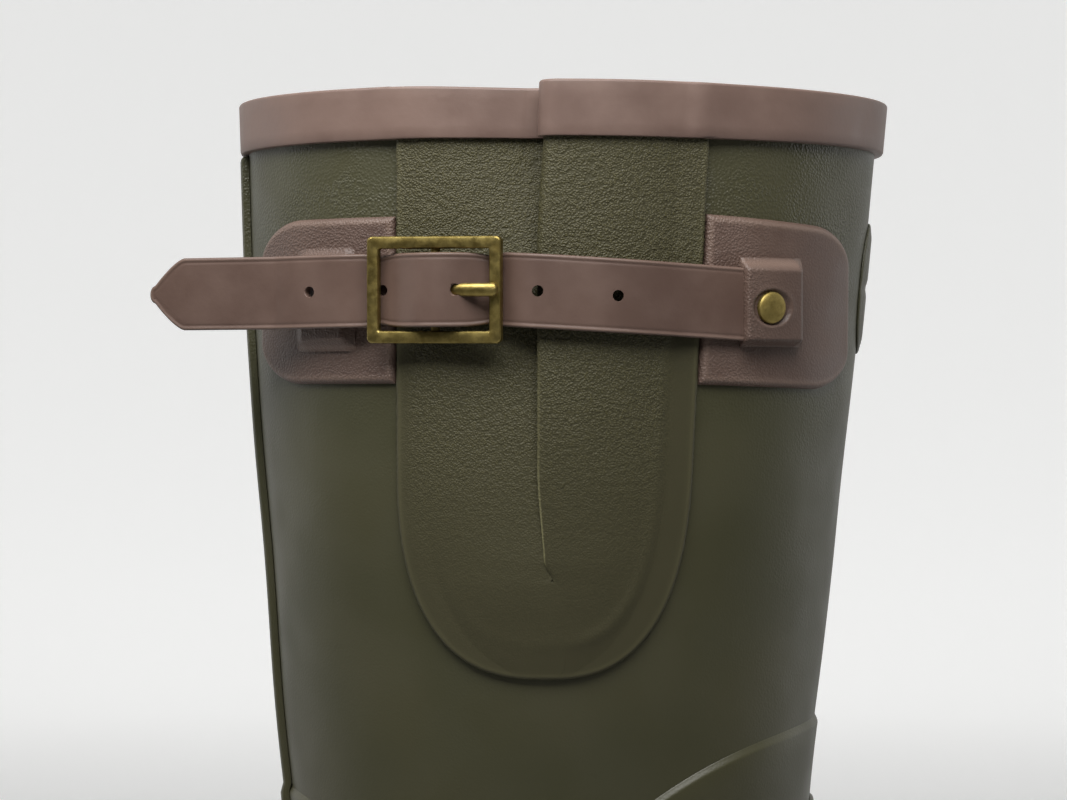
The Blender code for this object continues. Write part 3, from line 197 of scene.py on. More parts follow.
def ring_point(ring, theta):
    (back, front, back_rise, front_rise, half, widest, front_power, back_power,
     follow) = np.moveaxis(ring, -1, 0)
    length = front - back
    middle = back + widest * length
    c, s = np.cos(theta), np.sin(theta)
    power = np.where(c >= 0, front_power, back_power)
    reach = np.where(c >= 0, front - middle, middle - back)
    x = middle + np.copysign(np.abs(c) ** (2 / power), c) * reach
    y = np.copysign(np.abs(s) ** (2 / power), s) * half
    share = (x - back) / length
    dip = np.where(s > 0, MEDIAL_WAIST, LATERAL_WAIST)
    y = y * (1 - follow * dip * np.exp(-((share - WAIST_PLACE) / WAIST_SPREAD) ** 2))
    y = y + TOE_SWING * ease((x / SOLE_LENGTH - SWING_START) / SWING_SPAN)
    rise = back_rise + (front_rise - back_rise) * share
    z = HEEL_TOP + follow * (sole_top(x) - HEEL_TOP) + rise
    return np.stack(np.broadcast_arrays(x, y, z), axis=-1)


SLOPE_STEP = 0.004


def skin(theta, v, out=0.0):
    theta, v, out = np.broadcast_arrays(
        np.asarray(theta, float), np.asarray(v, float), np.asarray(out, float))
    ring = ring_at(v)
    here = ring_point(ring, theta)
    along = ring_point(ring, theta + 0.02) - ring_point(ring, theta - 0.02)
    up = (ring_point(ring_at(np.minimum(v + SLOPE_STEP, 1.0)), theta)
          - ring_point(ring_at(np.maximum(v - SLOPE_STEP, 0.0)), theta))
    normal = np.cross(along, up)
    normal /= np.linalg.norm(normal, axis=-1, keepdims=True)
    return here + normal * out[..., None]


def v_at(theta, z):
    theta, z = np.broadcast_arrays(np.asarray(theta, float), np.asarray(z, float))
    low, high = np.zeros(z.shape), np.ones(z.shape)
    for _ in range(24):
        middle = (low + high) / 2
        below = ring_point(ring_at(middle), theta)[..., 2] < z
        low = np.where(below, middle, low)
        high = np.where(below, high, middle)
    return (low + high) / 2


def theta_at(x, z):
    x, z = np.broadcast_arrays(np.asarray(x, float), np.asarray(z, float))
    v = v_at(np.full(z.shape, -math.pi / 2), z)
    theta = np.full(z.shape, -math.pi / 2)
    for _ in range(4):
        ring = ring_at(v)
        back, front, widest = ring[..., 0], ring[..., 1], ring[..., 5]
        middle = back + widest * (front - back)
        ahead = np.clip((x - middle) / (front - middle), 0.0, 1.0)
        behind = np.clip((middle - x) / (middle - back), 0.0, 1.0)
        theta = np.where(x >= middle, -np.arccos(ahead ** (ring[..., 6] / 2)),
                         -np.arccos(-(behind ** (ring[..., 7] / 2))))
        v = v_at(theta, z)
    return theta, v


def relief(theta, z):
    """Listed creases and a faint waviness of the moulded rubber, nothing above the patches."""
    turn = (theta + math.pi) % (2 * math.pi) - math.pi
    total = np.zeros(np.broadcast(theta, z).shape)
    for height, fall, middle, spread, width, depth in CREASES:
        away = (turn - middle + math.pi) % (2 * math.pi) - math.pi
        line = height + fall * (1 - np.cos(turn - (0.0 if abs(middle) < 1 else math.pi))) / 2
        fade = np.exp(-(away / spread) ** 4)
        d = (z - line) / width
        total += fade * depth * (-np.exp(-d * d) + 0.55 * np.exp(-(d - 1.7) ** 2)
                                 + 0.45 * np.exp(-(d + 1.7) ** 2))
    wave = 0.00030 * np.sin(3 * turn + z * 31) * np.sin(z * 47 + 1.3 * np.sin(turn + 0.7))
    wave += 0.00018 * np.sin(5 * turn - z * 63 + 1.0)
    fade = ease((z - 0.050) / 0.030) * ease((0.335 - z) / 0.05)
    return (total + wave) * fade


def over(theta, v, out=0.0):
    """Point over the real outer surface, with creases."""
    z = ring_point(ring_at(v), theta)[..., 2]
    return skin(theta, v, out + relief(theta, z))


def over_side(x, z, out=0.0):
    theta, v = theta_at(x, z)
    return over(theta, v, out)


def step_height(theta):
    c = np.cos(theta)
    base = (STEP_FRONT + STEP_BACK) / 2 + c * (STEP_FRONT - STEP_BACK) / 2
    return base - STEP_DIP * np.exp(-((c - STEP_DIP_COSINE) / STEP_DIP_SHARE) ** 2)


def step_out(theta, z):
    """Extra depth under the ankle reinforcement's rounded top edge."""
    d = np.clip((step_height(theta) + 0.0003 - z) / 0.0019, 0.0, 1.0)
    return STEP_DEPTH * (0.3 * np.sqrt(np.clip(1 - (1 - d) ** 2, 0.0, 1.0)) + 0.7 * ease(d))


def spaced(length, step, fine=(0.00008, 0.0002, 0.00035, 0.00055, 0.0008, 0.0011, 0.0015)):
    """Shares from 0 to 1 with fine steps at both ends."""
    count = max(int(length / step), 4)
    inner = np.linspace(0.0019, length - 0.0019, count)
    places = np.concatenate([[0.0], fine, inner, length - np.array(fine)[::-1], [length]])
    return places / length


def border_distance(grid):
    ring = np.concatenate([grid[0], grid[1:, -1], grid[-1, -2::-1], grid[-2:0:-1, 0]])
    ahead = np.roll(ring, -1, 0) - ring
    size = np.maximum((ahead * ahead).sum(-1), 1e-14)
    result = []
    for row in grid:
        p = row[:, None, :] - ring
        t = np.clip((p * ahead).sum(-1) / size, 0, 1)
        result.append(np.linalg.norm(p - t[..., None] * ahead, axis=-1).min(1))
    return np.array(result)


def rounded(distance, radius, floor=0.08):
    """Quarter-round edge, 0 to 1, with a small flat at the border."""
    t = np.clip(distance / radius, 0.0, 1.0)
    return floor + (1 - floor) * np.sqrt(np.clip(1 - (1 - t) ** 2, 0.0, 1.0))


def finish_mesh(name, mesh, looks, slot, nodes, angle=40):
    shape = bmesh.new()
    shape.from_mesh(mesh)
    if shape.calc_volume(signed=True) < 0:
        bmesh.ops.reverse_faces(shape, faces=shape.faces)
    shape.to_mesh(mesh)
    shape.free()
    piece = bpy.data.objects.new(name, mesh)
    bpy.context.scene.collection.objects.link(piece)
    for look in looks:
        mesh.materials.append(look)
    mesh.shade_smooth()
    if angle:
        mesh.set_sharp_from_angle(angle=math.radians(angle))
    if slot:
        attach(piece, BODY)
        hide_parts(*nodes)
    return piece


def shell(name, top, bottom, looks, slot=None, nodes=(), around=False, rim=None, angle=40):
    """Closed mesh between two grids of points; a second material goes on the bottom grid, and rim weights,
    painted highlight along edges, go on both grids as the rim attribute.
    """
    rows, columns = top.shape[:2]
    n = rows * columns
    index = np.arange(n).reshape(rows, columns)
    ahead = np.roll(index, -1, axis=1) if around else index[:, 1:]
    here = index if around else index[:, :-1]
    upper = np.stack([here[:-1], ahead[:-1], ahead[1:], here[1:]], axis=-1).reshape(-1, 4)
    lower = upper[:, ::-1] + n
    edges = [np.stack([here[0], here[0] + n, ahead[0] + n, ahead[0]], axis=-1),
             np.stack([here[-1], ahead[-1], ahead[-1] + n, here[-1] + n], axis=-1)]
    if not around:
        left, right = index[:, 0], index[:, -1]
        edges.append(np.stack([left[:-1], left[1:], left[1:] + n, left[:-1] + n], axis=-1))
        edges.append(np.stack([right[:-1], right[:-1] + n, right[1:] + n, right[1:]], axis=-1))
    faces = np.concatenate([upper, lower] + edges)
    mesh = bpy.data.meshes.new(name)
    mesh.from_pydata(np.concatenate([top.reshape(-1, 3), bottom.reshape(-1, 3)]), [], faces.tolist())
    if len(looks) > 1:
        index = np.zeros(len(faces), dtype=np.int32)
        index[len(upper):len(upper) + len(lower)] = 1
        mesh.polygons.foreach_set("material_index", index)
    if rim is not None:
        layer = mesh.attributes.new("rim", "FLOAT", "POINT")
        layer.data.foreach_set("value", np.concatenate([rim.ravel(), rim.ravel()]))
    return finish_mesh(name, mesh, looks, slot, nodes, angle)


def cutter(name, outline, direction):
    shape = bmesh.new()
    face = shape.faces.new([shape.verts.new(point) for point in outline])
    swept = bmesh.ops.extrude_face_region(shape, geom=[face])
    moved = [item for item in swept["geom"] if isinstance(item, bmesh.types.BMVert)]
    bmesh.ops.translate(shape, verts=moved, vec=direction)
    bmesh.ops.recalc_face_normals(shape, faces=shape.faces)
    mesh = bpy.data.meshes.new(name)
    shape.to_mesh(mesh)
    shape.free()
    return bpy.data.objects.new(name, mesh)


def round_cutter(name, centre, axis, radius, wide, length, sides=32):
    shape = bmesh.new()
    bmesh.ops.create_cone(shape, cap_ends=True, segments=sides, radius1=radius, radius2=wide, depth=length)
    turn = Vector((0, 0, 1)).rotation_difference(axis).to_matrix().to_4x4()
    bmesh.ops.transform(shape, matrix=Matrix.Translation(centre) @ turn, verts=shape.verts)
    mesh = bpy.data.meshes.new(name)
    shape.to_mesh(mesh)
    shape.free()
    return bpy.data.objects.new(name, mesh)


def cut(piece, tools):
    """Exact differences, applied at once."""
    scene = bpy.context.scene.collection.objects
    for tool in tools:
        scene.link(tool)
        step = piece.modifiers.new("cut", "BOOLEAN")
        step.operation = "DIFFERENCE"
        step.solver = "EXACT"
        step.object = tool
    bpy.context.view_layer.update()
    done = bpy.data.meshes.new_from_object(piece.evaluated_get(bpy.context.evaluated_depsgraph_get()))
    piece.modifiers.clear()
    piece.data = done
    for tool in tools:
        bpy.data.objects.remove(tool)
    return piece


FIXED = {"metallic": "Metallic", "specular_ior_level": "Specular IOR Level"}


class Look:
    """A node material with a few short helpers."""

    def __init__(self, name):
        self.material = bpy.data.materials.new(name)
        self.material.use_nodes = True
        self.tree = self.material.node_tree
        self.shader = self.tree.nodes["Principled BSDF"]
        self.place = self.add("ShaderNodeTexCoord").outputs["Object"]

    def add(self, kind, **settings):
        node = self.tree.nodes.new(kind)
        for key, value in settings.items():
            setattr(node, key, value)
        return node

    def link(self, source, target):
        self.tree.links.new(source, target)

    def noise(self, scale, detail=3.0, rough=0.5, distortion=0.0):
        node = self.add("ShaderNodeTexNoise")
        node.inputs["Scale"].default_value = scale
        node.inputs["Detail"].default_value = detail
        node.inputs["Roughness"].default_value = rough
        node.inputs["Distortion"].default_value = distortion
        self.link(self.place, node.inputs["Vector"])
        return node.outputs["Fac"]

    def cells(self, scale, feature="F1", smoothness=None, warp=None):
        node = self.add("ShaderNodeTexVoronoi", feature=feature)
        node.inputs["Scale"].default_value = scale
        if smoothness is not None:
            node.inputs["Smoothness"].default_value = smoothness
        source = self.place
        if warp:
            wobble = self.add("ShaderNodeTexNoise")
            wobble.inputs["Scale"].default_value = scale * 0.6
            self.link(self.place, wobble.inputs["Vector"])
            mixed = self.add("ShaderNodeVectorMath", operation="MULTIPLY_ADD")
            mixed.inputs[1].default_value = (warp, warp, warp)
            self.link(wobble.outputs["Color"], mixed.inputs[0])
            self.link(self.place, mixed.inputs[2])
            source = mixed.outputs[0]
        self.link(source, node.inputs["Vector"])
        return node.outputs["Distance"]

    def ramp(self, source, low, high, to_low=0.0, to_high=1.0):
        node = self.add("ShaderNodeMapRange", interpolation_type="SMOOTHSTEP")
        node.inputs["From Min"].default_value = low
        node.inputs["From Max"].default_value = high
        node.inputs["To Min"].default_value = to_low
        node.inputs["To Max"].default_value = to_high
        self.link(source, node.inputs["Value"])
        return node.outputs["Result"]

    def maths(self, operation, a, b):
        node = self.add("ShaderNodeMath", operation=operation)
        for socket, value in zip(node.inputs, (a, b)):
            if isinstance(value, (int, float)):
                socket.default_value = value
            else:
                self.link(value, socket)
        return node.outputs[0]

    def mix(self, factor, a, b):
        node = self.add("ShaderNodeMix", data_type="RGBA")
        self.link(factor, node.inputs["Factor"])
        for key, value in ((6, a), (7, b)):
            if isinstance(value, tuple):
                node.inputs[key].default_value = (*value, 1.0)
            else:
                self.link(value, node.inputs[key])
        return node.outputs[2]

    def bump(self, height, distance, strength=1.0, below=None):
        node = self.add("ShaderNodeBump")
        node.inputs["Strength"].default_value = strength
        node.inputs["Distance"].default_value = distance
        self.link(height, node.inputs["Height"])
        if below is not None:
            self.link(below, node.inputs["Normal"])
        return node.outputs["Normal"]

    # The rim attribute holds per-vertex weights of painted highlight along raised edges and the pleat's
    # folded edge.
    def rim(self):
        node = self.add("ShaderNodeAttribute", attribute_name="rim")
        return node.outputs["Fac"]

    def set(self, colour=None, roughness=None, normal=None, **fixed):
        for name, value in (("Base Color", colour), ("Roughness", roughness), ("Normal", normal)):
            if value is None:
                continue
            if isinstance(value, tuple):
                self.shader.inputs[name].default_value = (*value, 1.0)
            elif isinstance(value, float):
                self.shader.inputs[name].default_value = value
            else:
                self.link(value, self.shader.inputs[name])
        for name, value in fixed.items():
            self.shader.inputs[FIXED[name]].default_value = value
        return self.material


def srgb(r, g, b):
    def one(c):
        c /= 255
        return c / 12.92 if c <= 0.04045 else ((c + 0.055) / 1.055) ** 2.4
    return (one(r), one(g), one(b))


def smooth_rubber(name, dark, light, roughness):
    """Olive rubber with a faint leather grain, stronger towards the collar."""
    look = Look(name)
    tone = look.mix(look.ramp(look.noise(26, 1, 0.55), 0.35, 0.68), dark, light)
    gloss = look.ramp(look.noise(60, 1, 0.6), 0.3, 0.7, roughness - 0.04, roughness + 0.05)
    soft = look.bump(look.noise(75, 1, 0.5), 0.0004, 0.35)
    cell = look.cells(1500, warp=0.0002)
    crown = look.ramp(cell, 0.05, 0.80, 1.0, 0.0)
    place = look.add("ShaderNodeSeparateXYZ")
    look.link(look.place, place.inputs[0])
    fade = look.ramp(place.outputs["Z"], 0.30, 0.375, 0.22, 1.25)
    patch = look.ramp(look.noise(90, 0, 0.5), 0.35, 0.65, 0.5, 1.0)
    grain = look.maths("MULTIPLY", look.maths("MULTIPLY", crown, fade), patch)
    fine = look.bump(look.noise(1300, 1, 0.6), 0.00002, 0.6, soft)
    return look.set(tone, gloss, look.bump(grain, 0.00011, 0.85, fine), specular_ior_level=0.42)


def olive_rubber():
    return smooth_rubber("olive_rubber", srgb(55, 54, 34), srgb(60, 58, 38), 0.46)


def pebble_rubber():
    """Fine pebble grain of the gusset panel."""
    look = Look("pebbled_rubber")
    cell = look.cells(2100, "SMOOTH_F1", 0.35, warp=0.00012)
    grain = look.add("ShaderNodeAttribute", attribute_name="grain").outputs["Fac"]
    crown = look.maths("MULTIPLY", look.ramp(cell, 0.15, 0.75, 1.0, 0.0), grain)
    tone = look.mix(crown, srgb(54, 51, 31), srgb(68, 64, 38))
    # Painted highlight: the rim weights lighten the gusset's edges and the pleat's folded edge towards a
    # pale olive.
    tone_and_highlight = look.mix(look.maths("MULTIPLY", look.rim(), 0.45), tone, srgb(112, 108, 78))
    gloss = look.ramp(crown, 0.0, 1.0, 0.62, 0.46)
    soft = look.bump(look.noise(60, 1, 0.5), 0.0006, 0.4)
    wrinkle = look.cells(700, warp=0.0009)
    wrinkle = look.maths("MULTIPLY", look.ramp(wrinkle, 0.1, 0.8, 1.0, 0.0), grain)
    deep = look.bump(wrinkle, 0.00020, 0.5, soft)
    return look.set(tone_and_highlight, gloss, look.bump(crown, 0.00015, 0.9, deep), specular_ior_level=0.32)


def trim_rubber(name, dark, light, edge, roughness, grain=False):
    look = Look(name)
    cloud = look.noise(45, 4, 0.6)
    tone = look.mix(look.ramp(cloud, 0.32, 0.7), dark, light)
    soft = look.bump(look.noise(120, 3, 0.55), 0.0003, 0.35)
    if grain:
        cell = look.cells(1700, warp=0.00030)
        crown = look.ramp(cell, 0.1, 0.8, 1.0, 0.0)
        place = look.add("ShaderNodeSeparateXYZ")
        look.link(look.place, place.inputs[0])
        fade = look.ramp(place.outputs["X"], 0.062, 0.074, 1.0, 0.30)
        crown = look.maths("MULTIPLY", crown, fade)
        tone = look.mix(look.maths("MULTIPLY", crown, 0.10), tone, edge)
        normal = look.bump(crown, 0.00013, 0.8, soft)
    else:
        normal = look.bump(look.noise(1100, 3, 0.6), 0.00003, 0.8, soft)
    # Painted highlight: the rim weights lighten the trim's edges towards the edge colour.
    tone_and_highlight = look.mix(look.maths("MULTIPLY", look.rim(), 0.55), tone, edge)
    gloss = look.ramp(look.noise(90, 3, 0.6), 0.3, 0.7, roughness - 0.05, roughness + 0.06)
    return look.set(tone_and_highlight, gloss, normal, specular_ior_level=0.42)


def antique_brass(name="antique_brass", dull=0.0):
    look = Look(name)
    cloud = look.ramp(look.noise(520, 5, 0.65), 0.36, 0.62)
    speck = look.ramp(look.noise(1500, 3, 0.6), 0.52, 0.72)
    tone = look.mix(cloud, srgb(127, 111, 62), srgb(147, 131, 78))
    tone = look.mix(look.maths("MULTIPLY", speck, 0.30), tone, srgb(100, 86, 50))
    gloss = look.ramp(look.noise(420, 4, 0.6), 0.3, 0.7, 0.36 + dull, 0.50 + dull)
    normal = look.bump(look.noise(1400, 3, 0.6), 0.00003, 0.6)
    return look.set(tone, gloss, normal, metallic=1.0)


def woven(name, dark, light, pitch, roughness=0.9):
    """Plain woven cloth of a given thread pitch."""
    look = Look(name)
    parts = look.add("ShaderNodeSeparateXYZ")
    look.link(look.place, parts.inputs[0])
    turn = look.maths("ARCTAN2", parts.outputs["Y"], look.maths("SUBTRACT", parts.outputs["X"], 0.022))
    warp = look.maths("SINE", look.maths("MULTIPLY", turn, 0.06 * 2 * math.pi / pitch), 0.0)
    weft = look.maths("SINE", look.maths("MULTIPLY", parts.outputs["Z"], 2 * math.pi / pitch), 0.0)
    weave = look.ramp(look.maths("MULTIPLY", warp, weft), -1.0, 1.0)
    tone = look.mix(weave, dark, light)
    fuzz = look.noise(1500, 3, 0.6)
    normal = look.bump(look.maths("ADD", weave, fuzz), 0.00015, 0.6)
    return look.set(tone, roughness, normal)


def sole_rubber():
    look = Look("brown_sole_rubber")
    tone = look.mix(look.ramp(look.noise(40, 4, 0.6), 0.3, 0.7), srgb(74, 62, 54), srgb(88, 75, 66))
    scuff = look.ramp(look.noise(700, 4, 0.7), 0.58, 0.75)
    tone = look.mix(look.maths("MULTIPLY", scuff, 0.25), tone, srgb(120, 108, 98))
    normal = look.bump(look.noise(1200, 3, 0.6), 0.00006, 0.7)
    return look.set(tone, 0.62, normal)


OLIVE = olive_rubber()
PEBBLE = pebble_rubber()
# The third colour of each brown trim is the painted highlight that the rim weights mix in along edges; the
# grained trim also lightens its grain crowns a little towards it.
TRIM = trim_rubber("brown_trim_rubber", srgb(96, 77, 69), srgb(108, 88, 79), srgb(134, 115, 104), 0.50)
STRAP = trim_rubber("brown_strap_rubber", srgb(80, 62, 54), srgb(90, 71, 62), srgb(116, 96, 85), 0.48)
GRAINED = trim_rubber("brown_grained_rubber", srgb(76, 59, 51), srgb(86, 68, 59), srgb(112, 93, 82),
                      0.52, True)
BRASS = antique_brass()
DULL_BRASS = antique_brass("dull_brass", 0.14)
SOLE = sole_rubber()
LINING = woven("lining_cloth", srgb(62, 60, 46), srgb(96, 92, 74), 0.0011)
CLOTH = woven("insole_cloth", srgb(120, 112, 92), srgb(158, 150, 128), 0.0014)


def gusset_edges(z):
    rise = (z - GUSSET_BOTTOM) / (BOOT_HEIGHT - GUSSET_BOTTOM)
    ratio = min(max((GUSSET_BOTTOM + GUSSET_ROUND - z) / GUSSET_ROUND, 0.0), 1.0)
    shape = (1 - ratio**GUSSET_POWER) ** (1 / GUSSET_POWER)
    return GUSSET_MIDDLE - GUSSET_REAR * shape, GUSSET_MIDDLE + (GUSSET_FRONT + GUSSET_FLARE * rise) * shape


COLLAR_PITCH = GUSSET_SHEET + 2 * (GAP + FOLD_WALL) + GAP
PLEAT_KNOTS = np.array([row[0] for row in PLEAT_ROWS])
PLEAT_VALUES = np.array([row[1:] for row in PLEAT_ROWS])


def rise_over(share, lift, base):
    quick = 1 - np.maximum(1 - share, 0.0) ** 2.2
    return base + max(lift - base, 0.0) * quick + min(lift - base, 0.0) * share


def gusset_section(z, rear_count=30, front_count=34):
    """Dense (x, height) of the middle of the gusset's sheet through the pleat, its margins included."""
    base = GAP + GUSSET_SHEET / 2
    rear, front = gusset_edges(z)
    share = (z - GUSSET_BOTTOM) / (BOOT_HEIGHT - GUSSET_BOTTOM)
    folded, depth, pitch, lift = [np.interp(share, PLEAT_KNOTS, PLEAT_VALUES[:, k]) for k in range(4)]
    folded = float(ease(folded))
    depth, pitch, lift = depth * PLEAT_DEPTH, pitch * COLLAR_PITCH, lift * GUSSET_BULGE
    width = front - rear
    margin = min(GUSSET_MARGIN, 0.22 * width)
    spread = min(PLEAT_SPREAD, 0.12 * width)
    lean = PLEAT_X + PLEAT_LEAN * float(ease(1 - (BOOT_HEIGHT - z) / PLEAT_LEAN_HEIGHT))
    lean += PLEAT_FOOT * float(ease((PLEAT_FOOT_HEIGHT - z) / 0.030))
    pleat = min(max(lean, rear + 0.4 * width), front - 0.4 * width)
    rear_in, front_in = rear + margin, front - margin
    half_stack = pitch * folded
    front_lift, rear_lift = base + lift + half_stack, base + lift - half_stack

    def over_front(x):
        return rise_over((front_in - x) / (front_in - pleat), front_lift, base)

    edge = np.array([0.0, 0.02, 0.05, 0.09, 0.14, 0.22, 0.34, 0.5, 0.66, 0.8, 0.92])
    xs = [rear + margin * edge]
    hs = [np.full(len(edge), base)]
    rear_end = pleat - spread - 0.001
    share = np.linspace(0.0, 1.0, rear_count)
    xs.append(rear_in + (rear_end - rear_in) * share)
    hs.append(rise_over(share, rear_lift, base))
    radius = pitch / 2
    deep = pleat + depth
    arc = np.radians(np.linspace(-90, 90, 9))
    run = np.linspace(0.0, 1.0, 9)[1:-1]
    start = pleat - spread
    fold_x = np.concatenate([start + (deep - radius - start) * run, deep - radius + radius * np.cos(arc),
                             deep - radius + (pleat + 2 * radius - deep) * run,
                             pleat + radius - radius * np.cos(arc)])
    layer = np.concatenate([np.full(7, 2.0), 1.5 - 0.5 * np.sin(arc),
                            np.full(7, 1.0), 0.5 - 0.5 * np.sin(arc)])
    flat_x = np.linspace(pleat - spread, pleat + spread, len(fold_x))
    height = over_front(fold_x) - layer * pitch
    xs.append(flat_x + (fold_x - flat_x) * folded)
    hs.append(base + lift + (height - base - lift) * folded)
    front_start = pleat + radius * folded + spread * (1 - folded)
    share = np.linspace(0.0, 1.0, front_count)[1:]
    x = front_start + (front_in - front_start) * share
    xs.append(x)
    hs.append(over_front(x))
    xs.append(front - margin * edge[::-1])
    hs.append(np.full(len(edge), base))
    return np.concatenate(xs), np.concatenate(hs)


def plan_normals(points, closed=False):
    """Level normals of rows of points, outward on the outer side."""
    if closed:
        along = np.roll(points, -1, axis=1) - np.roll(points, 1, axis=1)
    else:
        along = np.gradient(points, axis=1)
    normal = np.stack([along[..., 1], -along[..., 0], np.zeros(along.shape[:2])], axis=-1)
    return normal / np.maximum(np.linalg.norm(normal, axis=-1, keepdims=True), 1e-9)


def make_upper():
    count = 208
    theta = np.arange(count) * 2 * math.pi / count
    edge = step_height(theta)
    rows = []
    low_v = v_at(theta, edge - 0.0016)
    for k in range(66):
        rows.append(low_v * (k / 66) ** 1.12)
    for d in (-0.0016, -0.0012, -0.0009, -0.0006, -0.0003, -0.0001, 0.0001, 0.00022, 0.00032, 0.0006):
        rows.append(v_at(theta, edge + d))
    high_v, top_v = v_at(theta, edge + 0.0006), v_at(theta, RIM_Z)
    for k in range(1, 61):
        rows.append(high_v + (top_v - high_v) * k / 60)
    v = np.array(rows)
    around = np.broadcast_to(theta, v.shape)
    z = ring_point(ring_at(v), around)[..., 2]
    start = ease(v / np.maximum(low_v, 1e-6) * 12)
    outer = over(around, v, step_out(around, z) * start)
    inner = over(around, v, -WALL)
    upper = shell("upper_shell", outer, inner, [OLIVE, LINING], "upper_rubber", ["upper"], around=True)
    span = BOOT_HEIGHT - GUSSET_BOTTOM
    rear_line, front_line = [], []
    for share in np.linspace(0, 1, 26) ** 1.6:
        z = GUSSET_BOTTOM + GUSSET_MARGIN + span * float(share)
        rear, front = gusset_edges(z - GUSSET_MARGIN * 0.6)
        rear_line.append(Vector((rear + GUSSET_MARGIN, -COLLAR_WIDTH, z)))
        front_line.append(Vector((front - GUSSET_MARGIN, -COLLAR_WIDTH, z)))
    outline = [(r, f) for r, f in zip(rear_line, front_line) if f.x - r.x > 0.001]
    points = [f for _, f in outline] + [r for r, _ in outline][::-1]
    return cut(upper, [cutter("window", points, Vector((0, COLLAR_WIDTH, 0)))])


def make_gusset():
    span = BOOT_HEIGHT - GUSSET_BOTTOM
    shares = np.concatenate([[0.0003, 0.0008, 0.0016, 0.003, 0.005, 0.008,
                              0.012, 0.017, 0.023, 0.030, 0.038],
                             np.linspace(0.047, (RIM_Z - GUSSET_BOTTOM) / span, 150)])
    heights = GUSSET_BOTTOM + shares * span
    sections = [gusset_section(float(z)) for z in heights]
    x = np.array([section[0] for section in sections])
    h = np.array([section[1] for section in sections])
    z = np.broadcast_to(heights[:, None], x.shape)
    middle = over_side(x, z, h)
    normal = plan_normals(middle)
    levels = GUSSET_BOTTOM + span * np.linspace(0, 1, 500) ** 2.2
    ends = np.array([gusset_edges(one) for one in levels])
    line = np.concatenate([np.stack([ends[:, 0], levels], -1), np.stack([ends[:, 1], levels], -1)])
    away = np.empty(x.shape)
    for r in range(len(x)):
        p = np.stack([x[r], z[r]], -1)
        away[r] = np.linalg.norm(p[:, None] - line, axis=-1).min(1)
    thick = GUSSET_SHEET / 2
    ridge = 0.00030 * np.exp(-((away - 0.0084) / 0.0016) ** 2) * ease((0.352 - z) / 0.01)
    ridge *= 0.30 + 0.70 * ease((x - PLEAT_X - 0.004) / 0.010)
    top = middle + normal * (thick * (2 * rounded(away, 0.0008) - 1) + ridge)[..., None]
    bottom = middle - normal * thick
    # Painted highlight, carried to the material as rim weights: a faint line along the panel's rounded edge
    # and a stronger one on the pleat's folded edge (columns 69 and 70) between about 0.287 and 0.345 m,
    # strongest below about 0.318 m.
    lip_highlight = 0.3 * np.exp(-((away - 0.0009) / 0.0005) ** 2)
    painted_pleat_highlight = (ease((heights - 0.2870) / 0.004) * ease((0.345 - heights) / 0.02)
              * (0.8 + 1.2 * ease((0.318 - heights) / 0.02)))
    lip_highlight[:, 69:71] = np.maximum(lip_highlight[:, 69:71], painted_pleat_highlight[:, None])
    piece = shell("gusset_panel", top, bottom, [PEBBLE, LINING], "gusset_rubber", ["gusset"], rim=lip_highlight)
    smooth_edge = 0.0045 * ease((x - PLEAT_X + 0.010) / 0.015)
    grain = (0.12 + 0.88 * ease((away - smooth_edge) / 0.0055)) * (0.15 + 0.85 * ease((z - 0.272) / 0.075))
    grain = np.maximum(grain, ease((z - 0.335) / 0.03))
    layer = piece.data.attributes.new("grain", "FLOAT", "POINT")
    layer.data.foreach_set("value", np.concatenate([grain.ravel(), grain.ravel()]))
    return piece


def binding_stations(z):
    """Dense (point, outer reach) round the collar at a height, through the pleat's folds."""
    rear, front = gusset_edges(z)
    x, height = gusset_section(z)
    keep = slice(9, -9)
    stack = (WALL + GAP + GUSSET_SHEET) / 2
    middle = GAP + GUSSET_SHEET - stack
    points = skin(*theta_at(x[keep], np.full(len(x[keep]), z)), height[keep])
    start = float(theta_at(front, z)[0]) + 2 * math.pi
    end = float(theta_at(rear, z)[0]) + 4 * math.pi
    turns = np.linspace(start + 0.012, end - 0.012, 300)
    round_points = skin(turns, v_at(turns, np.full(300, z)), -WALL / 2)
    reach_panel = GUSSET_SHEET / 2 + GAP + FOLD_WALL
    reach_edge = stack + GAP + BINDING_WALL * 0.8
    reach_wall = WALL / 2 + GAP + BINDING_WALL
    rear_edge = skin(*theta_at(np.linspace(rear - 0.0002, rear + GUSSET_MARGIN, 8), np.full(8, z)), middle)
    front_edge = skin(*theta_at(np.linspace(front - GUSSET_MARGIN, front + 0.0002, 8), np.full(8, z)),
                      middle)
    path = np.concatenate([rear_edge, points, front_edge, round_points])
    reach = np.concatenate([np.full(8, reach_edge), np.full(len(points), reach_panel),
                            np.full(8, reach_edge), np.full(300, reach_wall)])
    folds = np.zeros(len(path))
    folds[8 + 18:8 + 66] = 1.0
    for _ in range(14):
        near = (np.roll(path, 1, axis=0) + path + np.roll(path, -1, axis=0)) / 3
        path = np.where(folds[:, None] > 0, path, near)
        reach = np.where(folds > 0, reach, (np.roll(reach, 1) + reach + np.roll(reach, -1)) / 3)
    return path, reach


